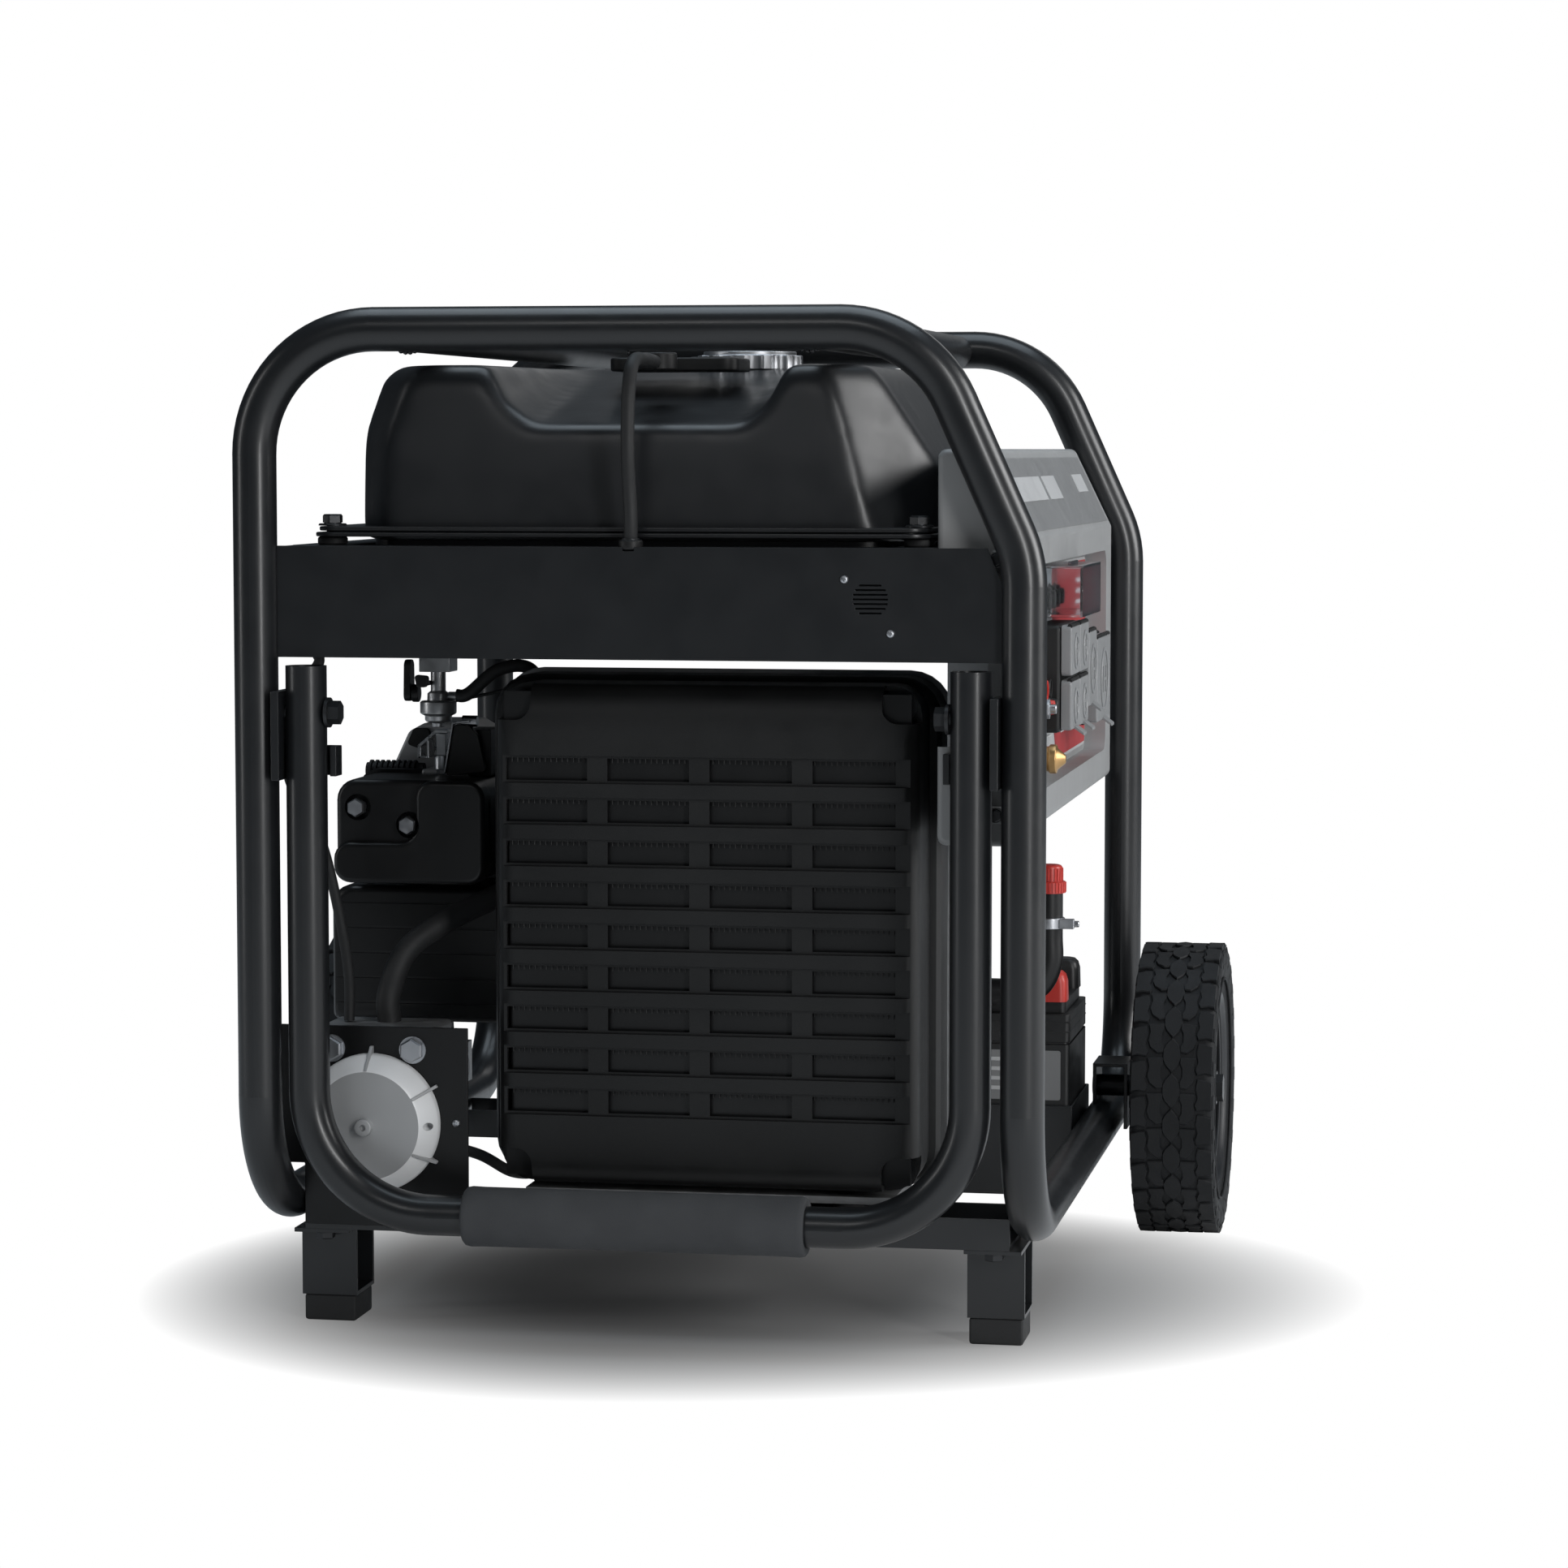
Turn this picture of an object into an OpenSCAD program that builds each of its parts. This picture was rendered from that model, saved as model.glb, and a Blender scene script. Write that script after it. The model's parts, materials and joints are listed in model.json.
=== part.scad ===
// Open-frame portable inverter generator on two wheels and two feet.
// X runs across the machine, Y from the handle end to the rear, Z up from the floor.
// Inside the modules Y is counted from the plane of the front hoop (see from_front).

/* [Frame] */
// Width over the frame tubes
frame_w = 595; // [590:1:600]
// Distance between the front and rear hoop planes
hoop_gap = 712; // [708:1:716]
// Height over the top tube
frame_h = 758; // [754:1:762]
// Diameter of the frame tube
tube_d = 32; // [30:1:33]
// Bend radius of the frame tube at its centre line
bend_r = 90; // [85:1:92]
// Height of the side rails' centre line above the floor
rail_z = 94; // [92:1:96]

/* [Handle] */
// Distance between the handle's two legs, centre to centre
handle_w = 488; // [484:1:489]
// Diameter of the handle tube
handle_d = 30; // [28:1:30]
// Height of the handle's pivot above the floor
pivot_z = 465; // [462:1:468]
// Diameter of the foam grip
grip_d = 44; // [42:1:44]
// Length of the foam grip
grip_l = 253; // [240:1:260]

/* [Wheels] */
// Tyre diameter
tyre_d = 243.2; // [240:0.1:244]
// Width of the tyre
tyre_w = 69; // [64:1:70]
// Distance of the wheel axis behind the front hoop
wheel_y = 568.5; // [560:0.5:570]
// Diameter of the stub axle
axle_d = 18; // [16:1:18]

/* [Engine] */
// Distance of the crankshaft axis right of the middle
crank_x = 39; // [37:1:41]
// Height of the crankshaft axis
crank_z = 298; // [296:1:300]
// Wall thickness of the plastic fan cover
cover_wall = 4; // [3:0.5:5]

/* [Tank] */
// Height of the tank's top
tank_top = 714; // [708:1:716]
// Wall thickness of the tank
tank_wall = 3; // [2:0.5:4]
// Diameter of the fuel cap
cap_d = 82; // [76:1:84]

/* [Control panel] */
// Depth of the recess that holds the outlets
recess_depth = 18; // [16:1:18]
// Distance of the outer lip from the middle
lip_x = 272; // [271:0.5:272]

/* [Hidden] */
$fn = 48;
tube_r = tube_d / 2;
side_x = frame_w / 2 - tube_r;
inner_x = side_x - tube_r;
top_z = frame_h - tube_r;
front_y = -(hoop_gap + tube_r - grip_d / 2) / 2;
rail_end = bend_r + 20;
slant_top_x = 208;
slant_foot_z = 578;
rail_r = 14;
top_rail_x = [-170, 135];
handle_x = handle_w / 2;
handle_r = handle_d / 2;
handle_bottom = 98;
handle_top = 499;
pivot_r = 5;
run_gap = 0.05;
seam = 0.2;
sheet = 2;
shelf_lo = 505;
shelf_hi = 586;
channel_lo = rail_z - 20;
channel_hi = channel_lo + 23;
channel_wall = 3;
front_channel = [58, 126];
rear_channel = [492, 560];
foot_x = 253;
foot_w = 42.5;
foot_top = channel_lo;
rubber_h = 20;
mount_x = [-70, 148];
mount_y = [92, 526];
mount_top = 102;
foot_plate_top = 107.5;
tyre_r = tyre_d / 2;
tyre_x = 313.4;
rim_r = 75;
axle_r = axle_d / 2;
fan_lo = [-134.6, 108];
fan_hi = [205, 488];
face_lo = [-119, 112];
face_hi = [197, 484];
fan_front = 60;
fan_step = 120;
fan_back = 160;
drum_r = 142;
drum_back = 255;
shaft_r = 17.5;
tank_floor = 600;
flange_lo = 592;
pan_lo = 560;
bolt_x = [-234.6, 200.7];
bolt_y = [40, 552];
cap_at = [33, 275];
neck_r = 23;
neck_top = 722;
vent_at = [-5, 110];
hose_r = 5;
face_x = lip_x - recess_depth;
panel_y = [20, 692];
recess_y = [60, 650];
recess_z = [400, 570];
cover_x = 276.5;
cover_out = 285;
valve_at = [-198, 200];
dome_at = [-212, 156];
plate_y = 58;
battery_lo = [176, 472, 45.5];
battery_hi = [262.5, 595, 193];
oil_at = [249, 440];
oil_top = 297;

// ---- helpers ----

// Moves a sub-part from front-hoop coordinates to the part's own frame
module from_front() translate([0, front_y, 0]) children();

// A block between two opposite corners
module block(lo, hi) translate(lo) cube(hi - lo);

// Cylinders along each axis, from one coordinate to the other
module rod_x(x, y, z, r) translate([x[0], y, z]) rotate([0, 90, 0]) cylinder(r = r, h = x[1] - x[0]);
module rod_y(x, y, z, r) translate([x, y[1], z]) rotate([90, 0, 0]) cylinder(r = r, h = y[1] - y[0]);
module rod_z(x, y, z, r) translate([x, y, z[0]]) cylinder(r = r, h = z[1] - z[0]);

// A hexagonal prism along each axis; af is the width across flats
module hex_y(x, y, z, af) translate([x, y[1], z]) rotate([90, 0, 0])
  cylinder(d = af / cos(30), h = y[1] - y[0], $fn = 6);
module hex_z(x, y, z, af) translate([x, y, z[0]]) cylinder(d = af / cos(30), h = z[1] - z[0], $fn = 6);
module hex_x(x, y, z, af) translate([x[0], y, z]) rotate([0, 90, 0])
  cylinder(d = af / cos(30), h = x[1] - x[0], $fn = 6);

// Outlines extruded along Y (drawn in X, Z) and along X (drawn in Y, Z)
module along_y(y) translate([0, y[1], 0]) rotate([90, 0, 0]) linear_extrude(y[1] - y[0]) children();
module along_x(x) translate([x[0], 0, 0]) rotate([90, 0, 90]) linear_extrude(x[1] - x[0]) children();

// A rectangle with round corners between two opposite corners
module round_rect(lo, hi, r) {
  translate(lo + [r, 0]) square([hi[0] - lo[0] - 2 * r, hi[1] - lo[1]]);
  translate(lo + [0, r]) square([hi[0] - lo[0], hi[1] - lo[1] - 2 * r]);
  for (x = [lo[0] + r, hi[0] - r], y = [lo[1] + r, hi[1] - r]) translate([x, y]) circle(r);
}

function unit(v) = v / norm(v);

// Turns +Z to the direction d and moves to p
module aim(p, d) {
  x = unit(cross(d, abs(d[2]) < 0.9 ? [0, 0, 1] : [1, 0, 0]));
  y = cross(d, x);
  multmatrix([[x[0], y[0], d[0], p[0]], [x[1], y[1], d[1], p[1]], [x[2], y[2], d[2], p[2]], [0, 0, 0, 1]])
    children();
}

// A round bar along straight runs, with every corner bent to the same radius.
// A hair-thin band covers each seam between a run and a bend.
module bent_bar(points, r, bend) {
  n = len(points);
  dirs = [for (i = [0 : n - 2]) unit(points[i + 1] - points[i])];
  turns = [for (i = [0 : n - 1]) i == 0 || i == n - 1 ? 0 : acos(dirs[i - 1] * dirs[i])];
  cuts = [for (t = turns) bend * tan(t / 2)];
  for (i = [0 : n - 2]) {
    span = norm(points[i + 1] - points[i]) - cuts[i] - cuts[i + 1];
    aim(points[i] + dirs[i] * cuts[i], dirs[i]) {
      translate([0, 0, i == 0 ? 0 : seam]) cylinder(r = r, h = span - (i == 0 || i == n - 2 ? 1 : 2) * seam);
      for (z = [if (i > 0) 0, if (i < n - 2) span]) translate([0, 0, z - 2 * seam])
        cylinder(r = r + seam / 8, h = 4 * seam);
    }
  }
  for (i = [1 : n - 2]) {
    z = unit(cross(dirs[i - 1], dirs[i]));
    y = dirs[i - 1];
    x = -cross(z, y);
    c = points[i] - y * cuts[i] - x * bend;
    multmatrix([[x[0], y[0], z[0], c[0]], [x[1], y[1], z[1], c[1]], [x[2], y[2], z[2], c[2]], [0, 0, 0, 1]])
      rotate_extrude(angle = turns[i]) translate([bend, 0]) circle(r);
  }
}

// A point on the smooth curve through the route p, t of the way from point i to the next
function on_curve(p, i, t) =
  let (a = p[max(i - 1, 0)], b = p[i], c = p[i + 1], d = p[min(i + 2, len(p) - 1)])
  (2 * b + (c - a) * t + (2 * a - 5 * b + 4 * c - d) * t * t + (3 * b - a - 3 * c + d) * t * t * t) / 2;
function across(n, t) = unit(n - t * (n * t));

// A hose of radius r swept along a route's smooth curve
module hose(route, r, sides = 10, steps = 4) {
  curve = [for (i = [0 : len(route) - 2], j = [0 : steps - 1]) on_curve(route, i, j / steps),
           route[len(route) - 1]];
  last = len(curve) - 1;
  n = len(route) - 1;
  along = [for (i = [0 : last])
    i == 0 ? unit(route[1] - route[0]) : i == last ? unit(route[n] - route[n - 1]) :
    unit(curve[i + 1] - curve[i - 1])];
  normals = [for (i = 0, n = across([1, 0.3, 0.1], along[0]); i <= last;
                  n = across(n, along[min(i + 1, last)]), i = i + 1) n];
  rings = [for (i = [0 : last], k = [0 : sides - 1])
    curve[i] + r * (normals[i] * cos(360 * k / sides) + cross(along[i], normals[i]) * sin(360 * k / sides))];
  walls = [for (i = [0 : last - 1], k = [0 : sides - 1])
    [i * sides + k, (i + 1) * sides + k, (i + 1) * sides + (k + 1) % sides, i * sides + (k + 1) % sides]];
  polyhedron(rings, concat([[for (k = [0 : sides - 1]) k]], walls,
    [[for (k = [0 : sides - 1]) last * sides + sides - 1 - k]]));
}

// ---- frame ----

// One bent hoop whose two feet run forward along the side rails
module hoop() bent_bar([[-side_x, -rail_end, rail_z], [-side_x, 0, rail_z], [-side_x, 0, top_z],
  [slant_top_x, 0, top_z], [side_x, 0, slant_foot_z], [side_x, 0, rail_z], [side_x, -rail_end, rail_z]],
  tube_r, bend_r);
module front_hoop() color("#202224") from_front() mirror([0, 1, 0]) hoop();
module rear_hoop() color("#202224") from_front() translate([0, hoop_gap, 0]) hoop();

module frame_rails() color("#202224") from_front() {
  for (x = [-side_x, side_x]) rod_y(x, [rail_end, hoop_gap - rail_end], rail_z, tube_r);
  difference() {
    for (x = top_rail_x) rod_y(x, [0, hoop_gap], top_z - 2, rail_r);
    for (y = [0, hoop_gap]) rod_x([-250, 200], y, top_z, tube_r);
  }
}

// An upward-open channel across the base
module channel(x, y) difference() {
  block([x[0], y[0], channel_lo], [x[1], y[1], channel_hi]);
  block([x[0] - 1, y[0] + channel_wall, channel_lo + channel_wall],
        [x[1] + 1, y[1] - channel_wall, channel_hi + 1]);
}
module cross_members() color("#1b1d1e") from_front() {
  difference() {
    channel([-inner_x, inner_x], front_channel);
    for (x = [-foot_x, foot_x]) rod_z(x, 68, [channel_lo - 1, channel_lo + 5], 4.1);
  }
  channel([-inner_x, battery_lo[0] - 3.5], rear_channel);
}

module foot_brackets() color("#1b1d1e") from_front()
  for (x = [-foot_x, foot_x]) difference() {
    union() {
      block([x - foot_w / 2, 78, rubber_h], [x + foot_w / 2, 126, foot_top]);
      block([x - foot_w / 2, 58, foot_top - 3], [x + foot_w / 2, 79, foot_top]);
    }
    block([x - foot_w, 81, rubber_h + 3], [x + foot_w, 123, foot_top - 3]);
    rod_z(x, 68, [foot_top - 5, foot_top + 1], 4.1);
  }

module rubber_feet() color("#26282a") from_front()
  for (x = [-foot_x, foot_x]) block([x - 20, 79, 0], [x + 20, 125, rubber_h]);

module engine_mounts() color("#1c1c1c") from_front()
  for (x = mount_x, y = mount_y) rod_z(x, y, [channel_lo + channel_wall, mount_top], 18);

// ---- tank shelf ----

// A slotted sheet panel between the hoops' legs; back is +1 when its flanges run to +Y
module shelf_panel(y, back) {
  y1 = y + back * sheet;
  along_y([min(y, y1), max(y, y1)])
    polygon([[-inner_x, shelf_lo], [inner_x, shelf_lo], [inner_x, 561], [255, shelf_hi],
      [-inner_x, shelf_hi]]);
  for (z = [shelf_lo, shelf_hi - sheet])
    block([-inner_x + 6, min(y1, y + back * 30), z], [214, max(y1, y + back * 30), z + sheet]);
}
module shelf_panels() color("#1e2021") from_front() {
  difference() {
    shelf_panel(0, 1);
    for (i = [-3 : 3]) {
      half = sqrt(12.8 * 12.8 - pow(i * 3.3, 2));
      block([171.4 - half, -1, 548.9 + i * 3.3], [171.4 + half, 3, 550.3 + i * 3.3]);
    }
    rod_z(-4, 8, [shelf_hi - 3, shelf_hi + 1], hose_r + 4);
  }
  shelf_panel(hoop_gap, -1);
}

module shelf_side_rails() color("#1e2021") from_front() difference() {
  for (s = [[-262, -224, shelf_lo, -262], [184, 214, 556, 212]]) {
    block([s[3], 30, s[2]], [s[3] + sheet, hoop_gap - 30, shelf_hi]);
    for (z = [s[2], shelf_hi - sheet]) block([s[0], 30, z], [s[1], hoop_gap - 30, z + sheet]);
  }
  for (x = bolt_x, y = bolt_y) rod_z(x, y, [shelf_hi - 4, shelf_hi + 1], 4.1);
}

// ---- fuel tank ----

// Front, side and plan outlines of the pressed upper shell, drawn in by t all round
module tank_front(t) polygon([[-216 + t, tank_floor - 9], [-217 + t, 667], [-202 + t, 706 - t], [-188 + t, tank_top - t],
  [173 - t, tank_top - t], [208 - t, 644], [208 - t, tank_floor - 9]]);
module tank_side(t) polygon([[34 + t, tank_floor - 9], [44 + t, 700 - t], [54 + t, tank_top - t],
  [540 - t, tank_top - t], [550 - t, 700 - t], [558 - t, tank_floor - 9]]);
module tank_plan(t) polygon([[-198 + t, 34 + t], [160 - t, 34 + t], [208 - t, 82 + t], [208 - t, 510 - t], [160 - t, 558 - t],
  [-198 + t, 558 - t], [-217 + t, 539 - t], [-217 + t, 53 + t]]);
module tank_shell(t) intersection() {
  along_y([30, 562]) tank_front(t);
  along_x([-220, 212]) tank_side(t);
  translate([0, 0, 580]) linear_extrude(150) tank_plan(t);
}
// The scoop pressed into the front of the top, drawn in by t
module tank_scoop(t) intersection() {
  along_y([20, 240]) polygon([[-93.4 - t, 674 - t], [77.7 + t, 674 - t], [101.5 + t, 718], [-120.5 - t, 718]]);
  along_x([-130, 110]) polygon([[20, 674 - t], [44, 674 - t], [240, 716 - t], [240, 730], [20, 730]]);
}
module fuel_tank() color("#1d1f20") from_front() difference() {
  union() {
    difference() {
      tank_shell(0);
      tank_scoop(0);
    }
    translate([0, 0, flange_lo]) linear_extrude(tank_floor - flange_lo) round_rect([-246, 20], [212, 572], 18);
    block([-214, 60, pan_lo], [176, 530, flange_lo + 1]);
    rod_z(cap_at[0], cap_at[1], [tank_top - 1, neck_top], neck_r);
  }
  difference() {
    intersection() {
      tank_shell(tank_wall);
      block([-300, 0, tank_floor], [300, 700, 800]);
    }
    tank_scoop(tank_wall);
  }
  block([-214 + tank_wall, 60 + tank_wall, pan_lo + tank_wall], [176 - tank_wall, 530 - tank_wall, tank_floor + 1]);
  rod_z(cap_at[0], cap_at[1], [tank_top - 10, neck_top + 1], neck_r - 3);
  for (x = bolt_x, y = bolt_y) rod_z(x, y, [flange_lo - 1, tank_floor + 1], 4.1);
}

module tank_isolators() color("#161616") from_front()
  for (x = bolt_x, y = bolt_y) difference() {
    rod_z(x, y, [shelf_hi, flange_lo], 11);
    rod_z(x, y, [shelf_hi - 1, flange_lo + 1], 4.1);
  }

module fuel_cap() color("#b9bcc0") from_front() difference() {
  union() {
    rod_z(cap_at[0], cap_at[1], [tank_top + 3, 728], cap_d / 2);
    rod_z(cap_at[0], cap_at[1], [728, 731], cap_d / 2 - 5);
  }
  rod_z(cap_at[0], cap_at[1], [tank_top, neck_top + 1], neck_r + 0.5);
  for (a = [0 : 30 : 330]) translate([cap_at[0], cap_at[1], 0]) rotate(a + 15)
    translate([cap_d / 2 + 5, 0, tank_top]) cylinder(r = 9, h = 20);
}

module tank_fittings() color("#191b1c") from_front() {
  translate([0, 0, tank_top]) linear_extrude(10) round_rect([-50, 140], [48, 205], 12);
  rod_z(vent_at[0], vent_at[1], [tank_top, 727], 14);
  difference() {
    rod_z(-4, 8, [shelf_hi - 2, shelf_hi + 5], hose_r + 3.9);
    rod_z(-4, 8, [shelf_hi - 3, shelf_hi + 6], hose_r + 0.1);
  }
}

// ---- fasteners ----

module hex_bolts() color("#8d9093") from_front() {
  for (x = [-foot_x, foot_x]) {
    hex_z(x, 68, [foot_top - 9, foot_top - 3], 13);
    rod_z(x, 68, [foot_top - 3, channel_lo + 12], 4);
    hex_z(x, 68, [channel_lo + channel_wall, channel_lo + 9], 13);
  }
  for (x = bolt_x, y = bolt_y) {
    rod_z(x, y, [tank_floor, tank_floor + 2], 10.5);
    hex_z(x, y, [tank_floor + 2, tank_floor + 8], 13);
    rod_z(x, y, [shelf_hi - 12, tank_floor], 4);
  }
  for (p = [[-243, 211], [-181, 211]]) hex_y(p[0], [plate_y - 10, plate_y - 2.5], p[1], 17);
  for (p = [[-250, 383], [-208, 369]]) hex_y(p[0], [147, 156], p[1], 11);
  for (x = [-104, 182], z = [126, 470]) hex_y(x, [74, 82], z, 13);
}

module panel_screws() color("#aeb1b4") from_front() {
  for (p = [[152.7, 563.7], [186, 525.3]]) rod_y(p[0], [-1.5, 0], p[1], 3);
  for (p = [[-148, 157], [-196, 92]]) rod_y(p[0], [plate_y - 4, plate_y - 2.5], p[1], 3);
}

// ---- carrying handle ----

module handle_tube() color("#1f2123") from_front() difference() {
  bent_bar([[-handle_x, 0, handle_top], [-handle_x, 0, handle_bottom], [handle_x, 0, handle_bottom],
            [handle_x, 0, handle_top]], handle_r, bend_r);
  for (x = [-handle_x, handle_x]) {
    rod_z(x, 0, [handle_top - 14, handle_top + 1], handle_r - 2.5);
    rod_x([x - 20, x + 20], 0, pivot_z, pivot_r + run_gap);
  }
}

module handle_grip() color("#3a3b3d") from_front() difference() {
  rod_x([-grip_l / 2, grip_l / 2], 0, handle_bottom, grip_d / 2);
  rod_x([-grip_l, grip_l], 0, handle_bottom, handle_r);
}

// A welded plate outside each leg, and a short stop behind it
module handle_brackets() color("#1b1d1e") from_front()
  for (s = [-1, 1]) mirror([s < 0 ? 1 : 0, 0, 0]) difference() {
    union() {
      block([handle_x + handle_r + 0.5, -19, 416], [inner_x, 19.5, 481]);
      block([handle_x - handle_r - 6, 16, 418], [inner_x, 19.5, 440]);
      block([handle_x - handle_r - 6, 4, 418], [handle_x - handle_r - 1, 19.5, 440]);
    }
    rod_x([200, 300], 0, pivot_z, pivot_r);
  }

module pivot_bolts() color("#2a2c2e") from_front()
  for (s = [-1, 1]) mirror([s < 0 ? 1 : 0, 0, 0]) {
    rod_x([handle_x - handle_r - 3, handle_x - handle_r - 0.5], 0, pivot_z, 11);
    hex_x([handle_x - handle_r - 11, handle_x - handle_r - 3], 0, pivot_z, 15);
    rod_x([handle_x - handle_r - 0.5, inner_x], 0, pivot_z, pivot_r);
  }

// ---- wheels ----

// Children drawn for the right-hand side, placed on side s
module on_side(s) mirror([s < 0 ? 1 : 0, 0, 0]) translate([0, wheel_y, tyre_r]) children();

// A wheel section turned about the axle; the outline is drawn as [radius, x]
module turned() rotate([90, 0, 90]) rotate_extrude() children();

module tyre(s) on_side(s) translate([tyre_x, 0, 0]) turned() difference() {
  polygon([[rim_r, 8], [98, 2], [112, 0], [118, 3], [tyre_r, 10], [tyre_r, tyre_w - 10], [118, tyre_w - 3],
           [112, tyre_w], [98, tyre_w - 2], [rim_r, tyre_w - 8]]);
}
module rim(s) on_side(s) translate([tyre_x, 0, 0]) turned() union() {
  polygon([[rim_r - 3, 10], [rim_r, 10], [rim_r, tyre_w - 10], [rim_r - 3, tyre_w - 10]]);
  polygon([[22, 30], [40, 26], [60, 36], [rim_r - 2, 36], [rim_r - 2, 39], [60, 39], [40, 29], [22, 33]]);
  polygon([[axle_r + run_gap, 6], [23, 6], [23, 60], [axle_r + run_gap, 60]]);
}
module left_tyre() color("#2a2d30") from_front() tyre(-1);
module right_tyre() color("#2a2d30") from_front() tyre(1);
module left_rim() color("#1a1b1c") from_front() rim(-1);
module right_rim() color("#1a1b1c") from_front() rim(1);

module stub_axles() color("#5c5f62") from_front()
  for (s = [-1, 1]) on_side(s) {
    rod_x([272, tyre_x + 62], 0, 0, axle_r);
    rod_x([tyre_x + 60.5, tyre_x + 62.5], 0, 0, 14);
    rod_x([tyre_x + 3.5, tyre_x + 5.5], 0, 0, 14);
    hex_x([tyre_x + 62.5, tyre_x + 68], 0, 0, 20);
  }

// A channel welded over the side rail, bored for the stub axle
module axle_brackets() color("#3a3d40") from_front()
  for (s = [-1, 1]) mirror([s < 0 ? 1 : 0, 0, 0]) difference() {
    block([274, wheel_y - 24, 88], [303, wheel_y + 24, 143]);
    block([277, wheel_y - 25, 80], [300, wheel_y + 25, 140]);
    rod_y(side_x, [wheel_y - 30, wheel_y + 30], rail_z, tube_r);
    rod_x([270, 310], wheel_y, tyre_r, axle_r);
    block([270, wheel_y - 30, 80], [290, wheel_y + 30, 108]);
  }

// ---- alternator end ----

// The sunk corners that hold the cover's bolts, grown by t
module corner_pockets(t) for (x = [-1, 1], z = [-1, 1])
  translate([crank_x + x * 158, 0, crank_z + z * 186]) block([-30 - t, 50, -30 - t], [30 + t, 82 + t, 30 + t]);

module fan_cover() color("#1a1b1c") from_front() difference() {
  union() {
    along_y([fan_front, fan_step]) round_rect(face_lo, face_hi, 24);
    along_y([fan_step, fan_back]) round_rect(fan_lo, fan_hi, 30);
  }
  difference() {
    along_y([fan_front + cover_wall, fan_back])
      round_rect(face_lo + [1, 1] * cover_wall, face_hi - [1, 1] * cover_wall, 20);
    corner_pockets(cover_wall);
  }
  along_y([fan_step + cover_wall, fan_back + 1])
    round_rect(fan_lo + [1, 1] * cover_wall, fan_hi - [1, 1] * cover_wall, 26);
  for (row = [0 : 8], col = [0 : 3]) {
    x = -110.6 + col * 76.5;
    z = 412 - row * 30.8;
    block([x, fan_front - 1, z], [x + 61.3, fan_front + cover_wall + 1, z + 18]);
  }
  corner_pockets(0);
}

module fan_housing() color("#2b2d2e") from_front() {
  difference() {
    along_y([fan_back, fan_back + 6]) round_rect(fan_lo, fan_hi, 30);
    rod_y(crank_x, [fan_back - 1, fan_back + 7], crank_z, drum_r - 6);
  }
  difference() {
    rod_y(crank_x, [fan_back + 6, drum_back], crank_z, drum_r);
    rod_y(crank_x, [fan_back, drum_back - 6], crank_z, drum_r - 6);
    rod_y(crank_x, [fan_back, drum_back + 1], crank_z, 30);
  }
  difference() {
    union() {
      block([-100, 75, mount_top], [178, drum_back, foot_plate_top]);
      for (x = [-70, 130]) block([x, fan_back + 6, foot_plate_top], [x + 18, drum_back, 200]);
    }
    rod_y(crank_x, [fan_back, drum_back + 1], crank_z, drum_r);
  }
}

module stator() color("#a5622f") from_front() difference() {
  union() {
    rod_y(crank_x, [182, 236], crank_z, 96);
    rod_y(crank_x, [236, drum_back - 6], crank_z, 46);
  }
  rod_y(crank_x, [180, drum_back], crank_z, 30);
}

module crankshaft() color("#9a9da0") from_front() {
  rod_y(crank_x, [104, 454], crank_z, shaft_r);
  for (y = [[318, 340], [372, 394]]) rod_y(crank_x, y, crank_z, 70);
}

module flywheel_fan() color("#3b3e40") from_front() difference() {
  union() {
    rod_y(crank_x, [168, 176], crank_z, 112);
    difference() {
      rod_y(crank_x, [176, 232], crank_z, 112);
      rod_y(crank_x, [175, 233], crank_z, 100);
    }
    rod_y(crank_x, [110, 168], crank_z, 30);
    rod_y(crank_x, [144, 148], crank_z, 136);
    for (a = [0 : 30 : 330]) translate([crank_x, 0, crank_z]) rotate([0, a, 0])
      block([28, 112, -1.5], [134, 145, 1.5]);
  }
  rod_y(crank_x, [100, 240], crank_z, shaft_r);
}

// ---- engine ----

module engine_block() color("#77797b") from_front() difference() {
  union() {
    along_y([drum_back, 460]) round_rect([-100, 122], [172, 400], 34);
    rod_x([-187, -95], 330, 268, 40);
    for (x = [-181 : 13 : -116]) rod_x([x, x + 5], 330, 268, 45.5);
    block([-100, 440, mount_top], [172, 545, 108]);
    block([-66, 436, 107], [138, 460, 130]);
  }
  rod_y(crank_x, [drum_back + 20, 440], crank_z, 84);
  rod_y(crank_x, [drum_back - 1, 455], crank_z, shaft_r + run_gap);
}

module cylinder_head() color("#77797b") from_front() {
  block([-240, 278, 217], [-187, 382, 313]);
  block([-238, 240, 313], [-190, 298, 330]);
  block([-262, 236, 328], [-152, 300, 400]);
}

module cylinder_shroud() color("#161718") from_front() difference() {
  block([-285, 200, 212], [-140, 400, 318]);
  block([-282, 203, 215], [-139, 401, 315]);
  block([-240, 232, 310], [-186, 302, 320]);
  for (z = [235 : 20 : 295]) block([-286, 199, z], [-139, 201, z + 1.5]);
}

module valve_cover() color("#141516") from_front() difference() {
  along_y([150, 236]) round_rect([-268, 325], [-149, 404], 14);
  along_y([154, 237]) round_rect([-264, 329], [-153, 400], 10);
  block([-270, 140, 356], [-199, 156, 410]);
}

module carburettor() color("#8b8e90") from_front() {
  block([-206, 302, 330], [-150, 372, 404]);
  along_y([262, 340]) polygon([[-250, 403.9], [-176, 403.9], [-184, 436], [-202, 446], [-224, 446], [-238, 434]]);
}

module air_cleaner() color("#1a1b1c") from_front() {
  along_y([404, 600]) round_rect([-272, 230], [-128, 368], 20);
  block([-196, 372, 334], [-160, 405, 364]);
}

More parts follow.
